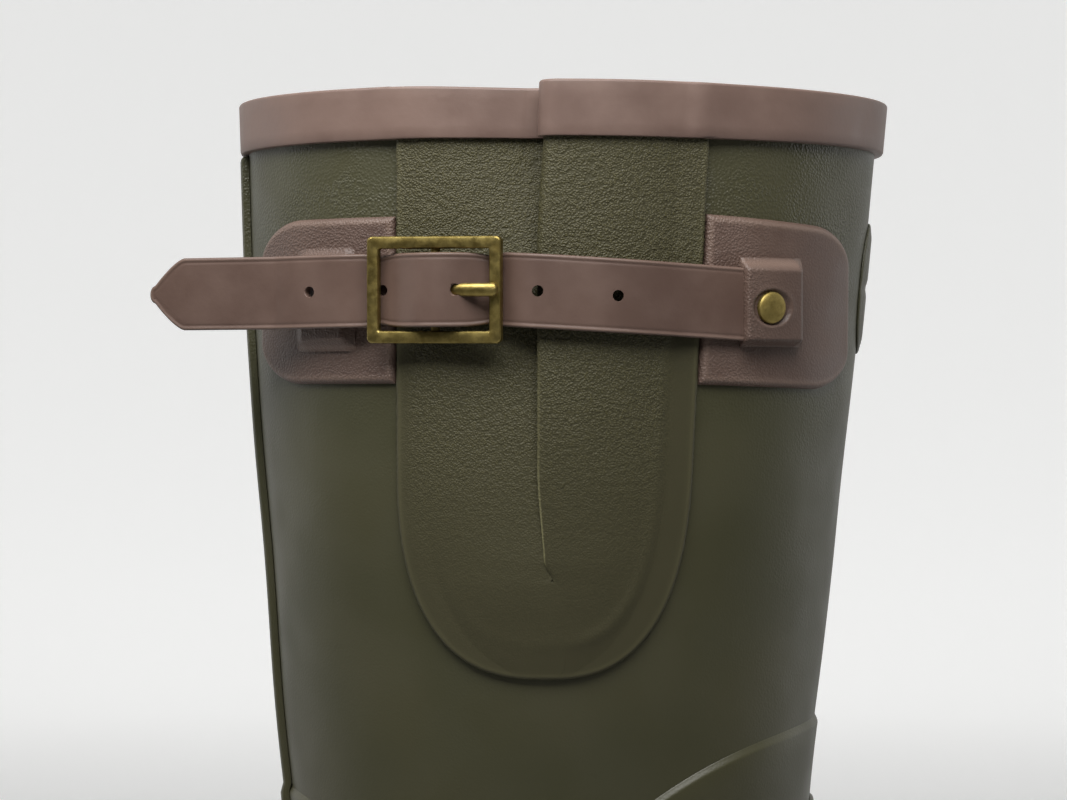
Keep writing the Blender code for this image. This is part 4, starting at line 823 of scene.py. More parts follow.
def make_binding():
    low, _ = binding_stations(BINDING_LOW)
    high, reach = binding_stations(BOOT_HEIGHT - 0.0001)
    x, near = high[:, 0], high[:, 1] < 0
    lap = np.arange(len(x)) >= 8 + 57
    top = BOOT_HEIGHT - 0.0002 - 0.0006 * ease((x + 0.030) / 0.045) * (near & ~lap)
    top = top + 0.0007 * ease((0.100 - x) / 0.06) * (near & lap & (x > 0.015))
    profile = [(0.80, 0.0000), (0.93, 0.0001), (1.0, 0.0006), (1.0, 0.0030), (1.0, 0.0060), (1.0, 0.0090)]
    for turn in (0, 18, 36, 54, 72, 90):
        profile.append((("arc", math.radians(turn)), None))
    sections = []
    for side_sign in (1, -1):
        half = []
        for s, dz in profile:
            if isinstance(s, tuple):
                r = np.minimum(0.0007, reach * 0.5)
                half.append((side_sign * (reach - r + r * math.cos(s[1])), top - r + r * math.sin(s[1])))
            else:
                half.append((side_sign * reach * s, np.full(len(reach), BINDING_LOW + dz)))
        sections.append(half if side_sign == 1 else half[::-1])
    rings = []
    low_normal, high_normal = plan_normals(low[None], True)[0], plan_normals(high[None], True)[0]
    for offset, z in sections[0] + sections[1]:
        t = ((z - BINDING_LOW) / BINDING_HEIGHT)[:, None]
        base = low * (1 - t) + high * t
        normal = low_normal * (1 - t) + high_normal * t
        point = base + normal * offset[:, None]
        point[:, 2] = z
        rings.append(point)
    grid = np.array(rings)
    rows, columns = grid.shape[:2]
    index = np.arange(rows * columns).reshape(rows, columns)
    ahead = np.roll(index, -1, axis=1)
    below = np.roll(index, -1, axis=0)
    faces = np.stack([index, ahead, np.roll(ahead, -1, axis=0), below], axis=-1).reshape(-1, 4)
    mesh = bpy.data.meshes.new("collar_binding")
    mesh.from_pydata(grid.reshape(-1, 3), [], faces.tolist())
    return finish_mesh("collar_binding", mesh, [TRIM], "trim_rubber", ["top_binding"], 50)


def make_strip():
    top, bottom = BINDING_LOW - GAP, float(sole_top(-0.14 * SOLE_LENGTH)) + RIM_HEIGHT + 2 * GAP
    z = bottom + (top - bottom) * spaced(top - bottom, 0.0024)
    turn = (spaced(2 * STRIP_WIDTH, 0.0012) * 2 - 1) * STRIP_WIDTH / COLLAR_WIDTH
    theta = np.broadcast_to(math.pi + turn, (len(z), len(turn)))
    zz = np.broadcast_to(z[:, None], theta.shape)
    v = v_at(theta, zz)
    base = over(theta, v, GAP + step_out(theta, zz))
    away = border_distance(base)
    across = np.abs(turn / (STRIP_WIDTH / COLLAR_WIDTH))
    rib = 0.00035 * np.exp(-((across - 0.78) / 0.10) ** 2) - 0.00012 * np.exp(-((across - 0.55) / 0.08) ** 2)
    height = STRIP_THICKNESS * rounded(away, 0.0008) + rib * ease(away / 0.002)
    outer = over(theta, v, GAP + step_out(theta, zz) + height - 0.0003)
    return shell("heel_strip", outer, base, [OLIVE], "upper_rubber", ["back_strip"],
                 rim=np.exp(-((away - 0.0007) / 0.0005) ** 2))


def make_pad():
    """Plain raised pad on the front, two soft swells with a waist between them."""
    level = np.sin(np.linspace(-math.pi / 2, math.pi / 2, 60)) * 0.9995
    turn = np.sin(np.linspace(-math.pi / 2, math.pi / 2, 56))
    z = PAD_MIDDLE + level * PAD_HEIGHT / 2
    reach = (1 - np.abs(level) ** 2.6) ** (1 / 2.6) * PAD_WIDTH / COLLAR_WIDTH
    theta = reach[:, None] * turn[None]
    zz = np.broadcast_to(z[:, None], theta.shape)
    v = v_at(theta, zz)
    base = over(theta, v, GAP * 0.5)
    away = border_distance(base)
    waist = np.exp(-((zz - PAD_MIDDLE) / 0.0014) ** 2)
    height = PAD_THICKNESS * (0.45 * rounded(away, 0.0010) + 0.55 * ease(away / 0.004)) * (1 - 0.45 * waist)
    return shell("front_pad_face", over(theta, v, GAP + height), base, [OLIVE], "upper_rubber",
                 ["front_pad"])


def make_guard():
    step = 2 * math.pi / 44
    reach = 4 * step
    turn = (spaced(0.052, 0.0013) * 2 - 1) * reach
    top = GUARD_TOP - GUARD_ROUND * (turn / reach) ** 2
    share = spaced(0.190, 0.0016)
    low_v = v_at(turn, step_height(turn)) * (6 / 13) ** 1.25
    top_v = v_at(turn, top)
    v = low_v + (top_v - low_v) * share[:, None]
    theta = np.broadcast_to(turn, v.shape)
    base = over(theta, v, STEP_DEPTH + GAP * 0.4)
    away = border_distance(base)
    height = GUARD_THICKNESS * rounded(away, 0.0007) + 0.0002 * np.exp(-((away - 0.0016) / 0.0007) ** 2)
    return shell("instep_overlay", over(theta, v, STEP_DEPTH + GAP * 0.4 + height), base, [OLIVE],
                 "upper_rubber", ["instep_guard"])


def rounded_end(level, corner, height):
    distance = (1 - np.abs(level)) * height / 2
    inside = np.clip(corner - distance, 0.0, corner)
    return corner - np.sqrt(corner**2 - inside**2)


def make_patch(name, front, place, node):
    far, low, high, corner = place
    height = high - low
    level = spaced(height, 0.0006) * 2 - 1
    z = (low + high) / 2 + level * height / 2
    across = spaced(0.040, 0.0007)
    edge = np.array([gusset_edges(float(one))[1 if front else 0] for one in z]) + (GAP if front else -GAP)
    draw = rounded_end(level * 0.9995, corner, height)
    end = far - draw if front else far + draw
    turns = [theta_at(one, z)[0] for one in ((edge, end) if front else (end, edge))]
    theta = turns[0][:, None] + (turns[1] - turns[0])[:, None] * across[None]
    zz = np.broadcast_to(z[:, None], theta.shape)
    if front:
        zz = zz + 0.0005 - (0.0010 + 0.0008 * (level + 1) / 2)[:, None] * across[None]
    v = v_at(theta, zz)
    base = over(theta, v, GAP * 0.3)
    away = border_distance(base)
    # The lip mask raises a thin line near the edge and, as rim weights, paints a highlight along it.
    lip_highlight = np.exp(-((away - 0.0013) / 0.0007) ** 2)
    rise = (GAP + PATCH_THICKNESS) * rounded(away, 0.0017, 0.04) + 0.00006 * lip_highlight
    return shell(name, over(theta, v, rise), base, [GRAINED], "trim_rubber", [node], rim=lip_highlight)


PATCH_TOP = GAP + PATCH_THICKNESS
STRAP_HALF = STRAP_THICKNESS / 2
STRAP_SEAT = PATCH_TOP + GAP + STRAP_HALF
TAB_TOP = PATCH_TOP + 2 * GAP + STRAP_THICKNESS + TAB_COVER
KEEPER_TOP = PATCH_TOP + 2 * GAP + BILLET_THICKNESS + KEEPER_COVER
BAR_HEIGHT = FRAME_LIFT - CENTRE_BAR_DROP
BAR_BORE = CENTRE_BAR_RADIUS + GAP
OVER_BAR = BAR_HEIGHT + BAR_BORE + BILLET_THICKNESS + GAP + STRAP_HALF
UNDER_BAR = FRAME_LIFT - FRAME_THICKNESS / 2 - STRAP_HALF - GAP


def strap_route():
    half = BUCKLE_LENGTH / 2
    over_pleat = GAP + GUSSET_SHEET + 0.3 * GUSSET_BULGE + 0.78 * COLLAR_PITCH + 3 * GAP + STRAP_HALF
    panel_front = gusset_edges(STRAP_Z)[1]
    over_keeper = KEEPER_TOP + 2 * GAP + STRAP_HALF
    return (
        (TAB_REAR + TAB_INSERT - GAP, STRAP_SEAT),
        (TAB_REAR, STRAP_SEAT),
        (panel_front, STRAP_SEAT + GAP),
        (panel_front - 0.006, STRAP_SEAT + 0.0011),
        (PLEAT_X + 0.020, 0.25 * STRAP_SEAT + 0.75 * over_pleat),
        (PLEAT_X + 0.006, over_pleat),
        (PLEAT_X - 0.001, over_pleat - 0.0002),
        (BUCKLE_X + half - BAR_WIDTH / 2, UNDER_BAR + 0.0006),
        (BUCKLE_X + half - 2.2 * BAR_WIDTH, UNDER_BAR + 0.0016),
        (BUCKLE_X + BAR_WIDTH, OVER_BAR - 0.0002),
        (BUCKLE_X, OVER_BAR + 0.0003),
        (BUCKLE_X - BAR_WIDTH, OVER_BAR - 0.0002),
        (BUCKLE_X - half + 2.0 * BAR_WIDTH, UNDER_BAR + 0.0012),
        (BUCKLE_X - half + BAR_WIDTH / 2, UNDER_BAR + 0.0011),
        (KEEPER_FRONT + 0.0005, over_keeper),
        ((KEEPER_FRONT + KEEPER_REAR) / 2, over_keeper + 0.0006),
        (KEEPER_REAR, over_keeper + 0.0022),
    )


def strap_z(x):
    front = BUCKLE_X + BUCKLE_LENGTH / 2
    share = (np.asarray(x) - front) / (TAB_REAR - front)
    return STRAP_Z - STRAP_DROP * np.clip(share, 0.0, 1.0)


def side_normal(x, z):
    a, b = skin(*theta_at(x, z), 0.001), skin(*theta_at(x, z), 0.0)
    return Vector((a - b).tolist()).normalized()


def strap_place(start, distance):
    step = math.copysign(0.0005, distance)
    x, left = start, abs(distance)
    last = skin(*theta_at(x, strap_z(x)), STRAP_SEAT)
    while left > 0:
        x += step
        here = skin(*theta_at(x, strap_z(x)), STRAP_SEAT)
        left -= float(np.linalg.norm(here - last))
        last = here
    return x


STRAP_EDGE_ROWS = (0.0001, 0.00025, 0.0004, 0.0006, 0.0008, 0.00095, 0.00115, 0.00135, 0.0016)


def make_strap():
    route = strap_route()[::-1]
    knots = np.array([x for x, _ in route])
    values = np.array([[height] for _, height in route])
    x = np.linspace(knots[0], knots[-1], 190)
    height = smooth(knots, values, x)[:, 0]
    level = spaced(STRAP_WIDTH, 0.0010, STRAP_EDGE_ROWS) * 2 - 1
    xx = np.broadcast_to(x[:, None], (len(x), len(level)))
    inside = BUCKLE_LENGTH / 2 - BAR_WIDTH - np.abs(x - BUCKLE_X)
    narrow = 1 - 0.085 * np.exp(-(inside / np.where(inside > 0, 0.0036, 0.0012)) ** 2)
    zz = strap_z(x)[:, None] + level[None] * narrow[:, None] * STRAP_WIDTH / 2
    hh = np.broadcast_to(height[:, None], xx.shape)
    rows = skin(*theta_at(xx, zz), hh)
    first = rows[0]
    centre = first[len(level) // 2]
    shift = np.array([-math.cos(TAIL_ANGLE), math.sin(TAIL_ANGLE), 0.0])
    tail = []
    body = np.linspace(0.0008, TAIL_LENGTH - TIP_LENGTH, 26)
    tip = TAIL_LENGTH - TIP_LENGTH + TIP_LENGTH * np.sin(np.linspace(0, math.pi / 2, 24))[1:]
    for reach in np.concatenate([body, tip]):
        t = max(reach - (TAIL_LENGTH - TIP_LENGTH), 0.0) / TIP_LENGTH
        narrow = max(1 - t**1.4 * 0.94, 0.02) if t < 0.86 else (1 - 0.86**1.4 * 0.94) * math.sqrt(
            max(1 - ((t - 0.86) / 0.14) ** 2, 0.0006))
        tail.append(centre + shift * reach + (first - centre) * narrow)
    middle = np.concatenate([np.array(tail)[::-1], rows])
    along, across = np.gradient(middle, axis=0), np.gradient(middle, axis=1)
    normal = np.cross(along, across)
    normal /= np.maximum(np.linalg.norm(normal, axis=-1, keepdims=True), 1e-9)
    if (normal[..., 1] > 0).mean() > 0.5:
        normal = -normal
    away = border_distance(middle)
    # The lip mask raises a thin line near the edge and, as rim weights, paints a highlight along it.
    lip_highlight = np.exp(-((away - 0.00050) / 0.00022) ** 2)
    edge = rounded(away, 0.0004, 0.45)
    line = -0.00010 * np.exp(-((away - 0.00115) / 0.00022) ** 2)
    top = middle + normal * (STRAP_HALF * edge + 0.00008 * lip_highlight + line)[..., None]
    bottom = middle - normal * (STRAP_HALF * edge)[..., None]
    strap = shell("buckled_strap", top, bottom, [STRAP], "trim_rubber", ["strap"], rim=lip_highlight)
    tools = []
    for k in (-2, -1, 0, 1, 2):
        place = BUCKLE_X + PRONG_HOLE if k == 0 else strap_place(BUCKLE_X + PRONG_HOLE, k * HOLE_PITCH)
        seat = float(smooth(knots, values, np.array(place))[0])
        out = side_normal(place, strap_z(place))
        point = Vector(skin(*theta_at(place, strap_z(place)), seat).tolist())
        tools.append(round_cutter(f"hole_{k + 2}", point, out, HOLE_DIAMETER / 2, HOLE_DIAMETER / 2, 0.010))
        rim = point + out * (STRAP_HALF + 0.0002)
        tools.append(round_cutter(f"dish_{k + 2}", rim, out, HOLE_DIAMETER / 2 * 0.9,
                                  HOLE_DIAMETER / 2 + 0.0004, 0.0008))
    return cut(strap, tools)


BLOCK_EDGE_ROWS = (0.0001, 0.00025, 0.0004, 0.0006, 0.0009, 0.0012, 0.0015)
BLOCK_SINK, BLOCK_FOOT = 0.0002, 0.0004


def raised_block(name, x0, x1, z0, z1, low, relief_at, looks, slot, node):
    """Moulded block on the outer side whose face follows a height function of x and z."""
    x = x0 + (x1 - x0) * spaced(x1 - x0, 0.00035, BLOCK_EDGE_ROWS)
    z = z0 + (z1 - z0) * spaced(z1 - z0, 0.00035, BLOCK_EDGE_ROWS)
    xx, zz = np.meshgrid(x, z)
    theta, v = theta_at(xx, zz)
    face, rim = relief_at(xx, zz)
    return shell(name, skin(theta, v, face), skin(theta, v, low), looks, slot, [node], rim=rim, angle=50)


TAB_Z = float(strap_z(TAB_REAR)) + TAB_RAISE
RIVET_Z = TAB_Z - RIVET_DROP


def tab_face(x, z):
    left, right = x - TAB_REAR, TAB_FRONT - x
    up, down = TAB_Z + TAB_HEIGHT / 2 - z, z - (TAB_Z - TAB_HEIGHT / 2)
    bevel = (rounded(left, 0.0008, 0.60) * (0.25 + 0.75 * ease(right / 0.0026))
             * (0.25 + 0.75 * ease(up / 0.0032)) * (0.25 + 0.75 * ease(down / 0.0020)))
    away = np.hypot(x - RIVET_X, z - RIVET_Z)
    dish = ease((RIVET_DIAMETER / 2 + 0.0006 - away) / 0.0005)
    swell = np.exp(-((away - RIVET_DIAMETER / 2 - 0.0008) / 0.0006) ** 2)
    face = (PATCH_TOP - BLOCK_SINK + (TAB_TOP - PATCH_TOP + BLOCK_SINK) * bevel
            - RIVET_RECESS * dish + 0.00008 * swell)
    # Painted highlight as rim weights: along the top bevel, the front edge and a ring round the rivet.
    rim = np.exp(-((up - 0.0014) / 0.0010) ** 2) * 0.8 + np.exp(-((right - 0.0010) / 0.0006) ** 2) * 0.4
    rim += 0.35 * np.exp(-((away - RIVET_DIAMETER / 2 - 0.0006) / 0.0003) ** 2)
    return face, np.clip(rim, 0, 1)


def keeper_face(x, z):
    middle = STRAP_Z - KEEPER_DROP
    left, right = x - KEEPER_REAR, KEEPER_FRONT - x
    up, down = middle + KEEPER_HEIGHT / 2 - z, z - (middle - KEEPER_HEIGHT / 2)
    bevel = ((0.3 + 0.7 * ease(left / 0.0030)) * (0.2 + 0.8 * ease(right / 0.0022))
             * (0.15 + 0.85 * ease(up / 0.0040)) * (0.25 + 0.75 * ease(down / 0.0034)))
    face = PATCH_TOP - BLOCK_SINK + (KEEPER_TOP - PATCH_TOP + BLOCK_SINK) * bevel
    # Its rim weights paint a highlight along the keeper's bottom edge.
    return face, np.exp(-((down - 0.0009) / 0.0008) ** 2)


def make_tab():
    return raised_block("strap_tab", TAB_REAR, TAB_FRONT, TAB_Z - TAB_HEIGHT / 2, TAB_Z + TAB_HEIGHT / 2,
                        PATCH_TOP - BLOCK_FOOT, tab_face, [GRAINED], "trim_rubber", "front_tab")


def make_keeper():
    middle = STRAP_Z - KEEPER_DROP
    return raised_block("strap_keeper", KEEPER_REAR, KEEPER_FRONT, middle - KEEPER_HEIGHT / 2,
                        middle + KEEPER_HEIGHT / 2, PATCH_TOP - BLOCK_FOOT, keeper_face, [GRAINED],
                        "trim_rubber", "rear_keeper")


def turned(name, profile, matrix, looks, slot, nodes, steps=64):
    """Closed solid of revolution about local Z from (radius, height) points, first and last on the axis."""
    turn = np.arange(steps) * 2 * math.pi / steps
    ring = [[(r * math.cos(t), r * math.sin(t), h) for t in turn] for r, h in profile[1:-1]]
    points = [(0, 0, profile[0][1])] + [p for one in ring for p in one] + [(0, 0, profile[-1][1])]
    faces = []
    for i in range(steps):
        j = (i + 1) % steps
        faces.append((0, 1 + j, 1 + i))
        for k in range(len(ring) - 1):
            a = 1 + k * steps
            faces.append((a + i, a + j, a + steps + j, a + steps + i))
        a = 1 + (len(ring) - 1) * steps
        faces.append((a + i, a + j, len(points) - 1))
    mesh = bpy.data.meshes.new(name)
    mesh.from_pydata([matrix @ Vector(p) for p in points], [], faces)
    return finish_mesh(name, mesh, looks, slot, nodes, 50)


def make_rivet():
    normal = side_normal(RIVET_X, RIVET_Z)
    seat = Vector(skin(*theta_at(RIVET_X, RIVET_Z), TAB_TOP - RIVET_RECESS).tolist())
    radius, low = RIVET_DIAMETER / 2, RIVET_RECESS * 0.6
    profile = [(0, -0.0003), (radius, -0.0003), (radius, low * 0.6)]
    for k in range(0, 19):
        angle = math.radians(90 * k / 18)
        profile.append((radius * (0.02 + 0.96 * math.cos(angle)), low + RIVET_DOME * math.sin(angle) ** 0.8))
    profile.append((0, low + RIVET_DOME))
    turn = Vector((0, 0, 1)).rotation_difference(normal).to_matrix().to_4x4()
    return turned("tab_rivet", profile, Matrix.Translation(seat) @ turn, [DULL_BRASS], "buckle_brass",
                  ["front_rivet"])


def buckle_matrix():
    centre = Vector(skin(*theta_at(BUCKLE_X, STRAP_Z), FRAME_LIFT).tolist())
    normal = side_normal(BUCKLE_X, STRAP_Z)
    forward = (Vector((1, 0, 0)) - normal * normal.x).normalized()
    matrix = Matrix((forward, normal.cross(forward), normal)).transposed().to_4x4()
    matrix.translation = centre
    return matrix


def rounded_rectangle(length, height, corner, segments):
    points = []
    for cx, cy, start in ((1, 1, 0), (-1, 1, 90), (-1, -1, 180), (1, -1, 270)):
        for k in range(segments + 1):
            angle = math.radians(start + 90 * k / segments)
            points.append((cx * (length / 2 - corner) + corner * math.cos(angle),
                           cy * (height / 2 - corner) + corner * math.sin(angle)))
    return points


def make_buckle():
    matrix = buckle_matrix()
    outer = rounded_rectangle(BUCKLE_LENGTH, BUCKLE_HEIGHT, BUCKLE_CORNER, 7)
    inner = rounded_rectangle(BUCKLE_LENGTH - 2 * BAR_WIDTH, BUCKLE_HEIGHT - 2 * BAR_WIDTH,
                              OPENING_CORNER, 7)
    half = FRAME_THICKNESS / 2
    profile = [(0.0, -half + 0.0004), (0.0, half - 0.00055), (0.00012, half - 0.00025),
               (0.00034, half - 0.00006), (0.00062, half)]
    points, faces = [], []
    for (ox, oy), (ix, iy) in zip(outer, inner):
        a, b = Vector((ox, oy, 0)), Vector((ix, iy, 0))
        way = (a - b).normalized()
        ring = [a - way * d + Vector((0, 0, z)) for d, z in profile]
        ring += [b + way * d + Vector((0, 0, z)) for d, z in reversed(profile)]
        ring += [b + way * 0.0004 - Vector((0, 0, half)), a - way * 0.0004 - Vector((0, 0, half))]
        points.append(ring)
    count, stations = len(points[0]), len(points)
    for i in range(stations):
        for k in range(count):
            j, m = (i + 1) % stations, (k + 1) % count
            faces.append((i * count + k, i * count + m, j * count + m, j * count + k))
    flat = [matrix @ p for ring in points for p in ring]
    base = len(flat)
    steps = 24
    for end in (-1, 1):
        for i in range(steps):
            t = 2 * math.pi * i / steps
            flat.append(matrix @ Vector((CENTRE_BAR_RADIUS * math.cos(t),
                                         end * (BUCKLE_HEIGHT - BAR_WIDTH) / 2,
                                         CENTRE_BAR_RADIUS * math.sin(t) - CENTRE_BAR_DROP)))
    for i in range(steps):
        j = (i + 1) % steps
        faces.append((base + i, base + j, base + steps + j, base + steps + i))
    faces.append(tuple(base + i for i in range(steps))[::-1])
    faces.append(tuple(base + steps + i for i in range(steps)))
    mesh = bpy.data.meshes.new("buckle_frame_face")
    mesh.from_pydata(flat, [], faces)
    return finish_mesh("buckle_frame_face", mesh, [BRASS], "buckle_brass", ["buckle_frame"], 30)


def make_prong():
    local = buckle_matrix()
    start = Vector((0.0010, 0, 0.0006))
    end = Vector((BUCKLE_LENGTH / 2 - 0.0003, 0, FRAME_THICKNESS / 2 + GAP + 0.0013))
    axis = end - start
    length = axis.length
    turn = Vector((0, 0, 1)).rotation_difference(axis.normalized()).to_matrix().to_4x4()
    profile = [(0, 0), (0.0009, 0), (0.0012, 0.0004), (0.00128, length * 0.5), (0.0013, length - 0.0022)]
    for k in range(1, 9):
        angle = math.radians(90 * k / 9)
        profile.append((0.0013 * math.cos(angle), length - 0.0013 + 0.0013 * math.sin(angle)))
    profile.append((0, length))
    flat = Matrix.Diagonal((0.80, 1.22, 1.0, 1.0))
    prong = turned("buckle_tongue", profile, local @ Matrix.Translation(start) @ turn @ flat, [BRASS],
                   "buckle_brass", ["buckle_prong"], 32)
    outer, inner, half = BAR_BORE + BILLET_THICKNESS, BAR_BORE, 0.0015
    points, faces = [], []
    steps = 40
    for i in range(steps):
        t = 2 * math.pi * i / steps
        for r, y in ((outer, -half), (outer, half), (inner, half), (inner, -half)):
            points.append(local @ Vector((r * math.cos(t), y, r * math.sin(t) - CENTRE_BAR_DROP)))
    for i in range(steps):
        for k in range(4):
            j, m = (i + 1) % steps, (k + 1) % 4
            faces.append((i * 4 + k, i * 4 + m, j * 4 + m, j * 4 + k))
    mesh = bpy.data.meshes.new("buckle_tongue_loop")
    mesh.from_pydata(points, [], faces)
    return prong, finish_mesh("buckle_tongue_loop", mesh, [BRASS], "buckle_brass", ["buckle_prong"], 40)


def outline_point(theta, out):
    here = skin(theta, np.zeros(np.shape(theta)))
    along = skin(theta + 0.02, np.zeros(np.shape(theta))) - skin(theta - 0.02, np.zeros(np.shape(theta)))
    normal = np.stack([along[..., 1], -along[..., 0], np.zeros(np.shape(theta))], axis=-1)
    normal /= np.linalg.norm(normal, axis=-1, keepdims=True)
    return here + normal * out


def level_ring(theta, out, z):
    points = outline_point(theta, out)
    points[..., 2] = z
    return points


def sole_bottom(x):
    if x < HEEL_BREAST:
        return 0.0
    if x < BALL_START:
        share = (x - HEEL_BREAST) / (BALL_START - HEEL_BREAST)
        return BREAST_HEIGHT * (1 - float(ease((share - 0.15) / 0.85)))
    toe = 0.87 * SOLE_LENGTH
    share = min(max((x - BALL_END) / (toe - BALL_END), 0.0), 1.0)
    return TOE_SPRING * share**1.6


def groove_places():
    places = []
    x = FIRST_GROOVE
    while x < HEEL_BREAST - LUG_PITCH * 0.6:
        places.append((x, -0.5))
        x += LUG_PITCH
    x = BALL_START + LUG_PITCH * 0.5
    while x < 0.83 * SOLE_LENGTH:
        places.append((x, -0.8))
        x += LUG_PITCH
    return places


def lofted(name, rings, looks, slot, nodes, angle=35):
    """Closed loft through rings, its ends closed by one face each."""
    count = len(rings[0])
    grid = np.array(rings)
    rows = len(rings)
    index = np.arange(rows * count).reshape(rows, count)
    ahead = np.roll(index, -1, axis=1)
    faces = np.stack([index[:-1], ahead[:-1], ahead[1:], index[1:]], axis=-1).reshape(-1, 4).tolist()
    faces.append(list(range(count))[::-1])
    faces.append(index[-1].tolist())
    mesh = bpy.data.meshes.new(name)
    mesh.from_pydata(grid.reshape(-1, 3), [], faces)
    return finish_mesh(name, mesh, looks, slot, nodes, angle)


def make_outsole():
    count = 176
    theta = np.arange(count) * 2 * math.pi / count
    reach = GAP + RIM_WALL + SOLE_LEDGE
    rings = [level_ring(theta, reach - 0.0005, 0.0), level_ring(theta, reach, 0.0005)]
    rings += [level_ring(theta, reach, z) for z in (0.0045, 0.0060)]
    rings += [level_ring(theta, reach - 0.0005, 0.0064), level_ring(theta, reach - 0.0005, 0.0076)]
    rings += [level_ring(theta, reach, z) for z in (0.0080, SOLE_STEP_HEIGHT - 0.0004)]
    rings.append(level_ring(theta, reach - 0.0004, SOLE_STEP_HEIGHT))
    rings.append(level_ring(theta, reach - SOLE_LEDGE, SOLE_STEP_HEIGHT + SOLE_LEDGE))
    tops = v_at(theta, skin(theta, np.zeros(count))[:, 2] + RIM_HEIGHT)
    for share in (0.0, 0.35, 0.7, 0.93):
        rings.append(skin(theta, tops * share,
                          GAP * 2 + STEP_DEPTH * ease(share) + RIM_WALL * (1 - 0.3 * share)))
    rings.append(skin(theta, tops * 0.985, GAP * 2 + STEP_DEPTH + RIM_WALL * 0.55))
    rings.append(skin(theta, tops, GAP * 2 + STEP_DEPTH + RIM_WALL * 0.25))
    for share in (1.0, 0.5):
        rings.append(skin(theta, tops * share, GAP * 0.5 + STEP_DEPTH * ease(share)))
    low = outline_point(theta, GAP * 2)
    low[:, 2] -= GAP
    rings.append(low)
    sole = lofted("moulded_sole", rings, [SOLE], "sole_rubber", ["outsole"])
    width, tools = BALL_WIDTH, []
    profile = [(HEEL_BREAST, -0.01), (HEEL_BREAST, 0.0), (HEEL_BREAST + 0.003, BREAST_HEIGHT)]
    for k in range(1, 33):
        x = HEEL_BREAST + 0.003 + (BALL_START - HEEL_BREAST - 0.003) * k / 32
        profile.append((x, sole_bottom(x) if k < 32 else 0.0))
    profile.append((BALL_START, -0.01))
    tools.append(cutter("arch", [Vector((x, -width, z)) for x, z in profile], Vector((0, 2 * width, 0))))
    profile = [(BALL_END, -0.01), (BALL_END, 0.0)]
    for k in range(1, 25):
        x = BALL_END + (SOLE_LENGTH - BALL_END) * k / 24
        profile.append((x, sole_bottom(x)))
    profile.append((SOLE_LENGTH, -0.01))
    tools.append(cutter("spring", [Vector((x, -width, z)) for x, z in profile], Vector((0, 2 * width, 0))))
    half = GROOVE_WIDTH / 2
    for k, (x, way) in enumerate(groove_places()):
        bend = CHEVRON * way
        outline = [(x - half, 0), (x + bend - half, width), (x + bend + half, width), (x + half, 0),
                   (x + bend + half, -width), (x + bend - half, -width)]
        tools.append(cutter(f"groove_{k}", [Vector((a, b, -0.01)) for a, b in outline],
                            Vector((0, 0, sole_bottom(x) + LUG_DEPTH + 0.01))))
    return cut(sole, tools)


def make_insole():
    count = 160
    theta = np.arange(count) * 2 * math.pi / count
    inside = WALL + 3 * GAP
    rings = []
    for draw, lift in ((0.0004, 0.0), (0.0, 0.0004), (0.0, 0.75), (0.0004, 0.92), (0.0014, 1.0)):
        ring = outline_point(theta, -inside - draw)
        ring[:, 2] += GAP + INSOLE_THICKNESS * lift
        rings.append(ring)
    return lofted("cloth_insole", rings, [CLOTH], "insole_fabric", ["insole"])


make_upper()
make_gusset()
make_binding()
make_strip()
make_pad()
make_guard()
make_patch("front_patch_face", True, FRONT_PATCH, "front_patch")
make_patch("rear_patch_face", False, REAR_PATCH, "rear_patch")
make_strap()
make_tab()
make_keeper()
make_rivet()
make_buckle()
make_prong()
make_outsole()
make_insole()
BILLET = frame["nodes"]["billet"]
BILLET.data.materials.clear()
BILLET.data.materials.append(STRAP)

GLOW = 0.44


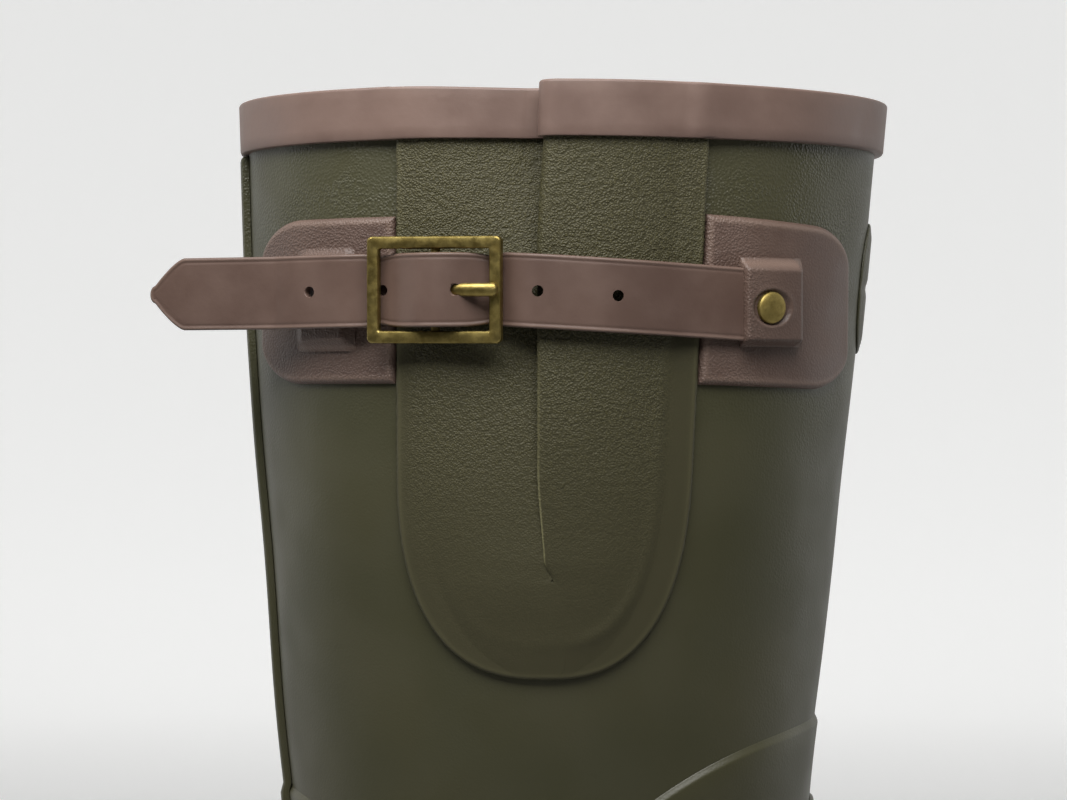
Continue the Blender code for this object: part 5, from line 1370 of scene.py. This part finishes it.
def make_stage():
    """Floor that turns up into a round backdrop, far outside every view's camera; pale behind the boot,
    darker in front, and the backdrop glows as painted light.
    """
    look = Look("pale_studio")
    parts = look.add("ShaderNodeSeparateXYZ")
    look.link(look.place, parts.inputs[0])
    behind = look.ramp(parts.outputs["Y"], -1.7, 1.2)
    tone = look.mix(behind, srgb(122, 122, 121), srgb(228, 228, 227))
    paper = look.set(tone, 0.9, look.bump(look.noise(260, 1, 0.6), 0.0002, 0.2))
    look.shader.inputs["Emission Color"].default_value = (1.0, 1.0, 0.995, 1.0)
    # Glow of the backdrop, rising with the distance behind the boot: painted light that also lights the boot
    # softly.
    away = look.ramp(parts.outputs["Y"], 0.6, 3.0, 0.0, GLOW)
    look.link(away, look.shader.inputs["Emission Strength"])
    look.material.cycles.emission_sampling = "NONE"
    profile = [(0.0, 0.0), (1.0, 0.0), (2.4, 0.0)]
    for k in range(1, 13):
        angle = math.radians(90 * k / 12)
        profile.append((2.4 + 1.6 * math.sin(angle), 1.6 - 1.6 * math.cos(angle)))
    profile.append((4.0, 4.5))
    steps = 96
    points, faces = [(0, 0, 0)], []
    for r, z in profile[1:]:
        points += [(r * math.cos(2 * math.pi * i / steps), r * math.sin(2 * math.pi * i / steps), z)
                   for i in range(steps)]
    for i in range(steps):
        j = (i + 1) % steps
        faces.append((0, 1 + i, 1 + j))
        for k in range(len(profile) - 2):
            a = 1 + k * steps
            faces.append((a + i, a + steps + i, a + steps + j, a + j))
    mesh = bpy.data.meshes.new("studio_floor")
    mesh.from_pydata(points, [], faces)
    mesh.materials.append(paper)
    mesh.shade_smooth()
    floor = bpy.data.objects.new("studio_floor", mesh)
    bpy.context.scene.collection.objects.link(floor)


def area_light(name, place, target, width, height, power):
    light = bpy.data.lights.new(name, "AREA")
    light.shape = "RECTANGLE"
    light.size, light.size_y, light.energy = width, height, power
    lamp = bpy.data.objects.new(name, light)
    lamp.location = place
    lamp.rotation_euler = (Vector(target) - Vector(place)).to_track_quat("-Z", "Y").to_euler()
    lamp.visible_camera = False
    bpy.context.scene.collection.objects.link(lamp)


make_stage()
area_light("key_panel", (-0.05, -0.29, 0.70), (0.02, -0.05, 0.38), 0.66, 0.28, 5.9)
area_light("sky_panel", (0.0, 1.2, 2.8), (0.0, 1.0, 0.0), 3.0, 2.4, 27)
area_light("left_panel", (-1.3, 0.35, 0.6), (0.0, 0.0, 0.3), 0.7, 1.3, 3.4)
area_light("right_panel", (1.4, 0.35, 0.6), (0.0, 0.0, 0.3), 0.7, 1.3, 4.6)

world = bpy.context.scene.world or bpy.data.worlds.new("studio")
bpy.context.scene.world = world
world.use_nodes = True
world.node_tree.nodes["Background"].inputs["Color"].default_value = (0.80, 0.80, 0.80, 1.0)
world.node_tree.nodes["Background"].inputs["Strength"].default_value = 0.09
bpy.context.scene.view_settings.view_transform = "Standard"

lens = bpy.data.cameras.new("photo_camera")
lens.lens, lens.sensor_width = 101.2, 36.0
lens.clip_start, lens.clip_end = 0.01, 50.0
camera = bpy.data.objects.new("photo_camera", lens)
camera.location = (0.015, -0.750, 0.3267)
camera.rotation_euler = (math.radians(90), 0.0, 0.0)
bpy.context.scene.collection.objects.link(camera)
bpy.context.scene.camera = camera

bpy.context.view_layer.update()
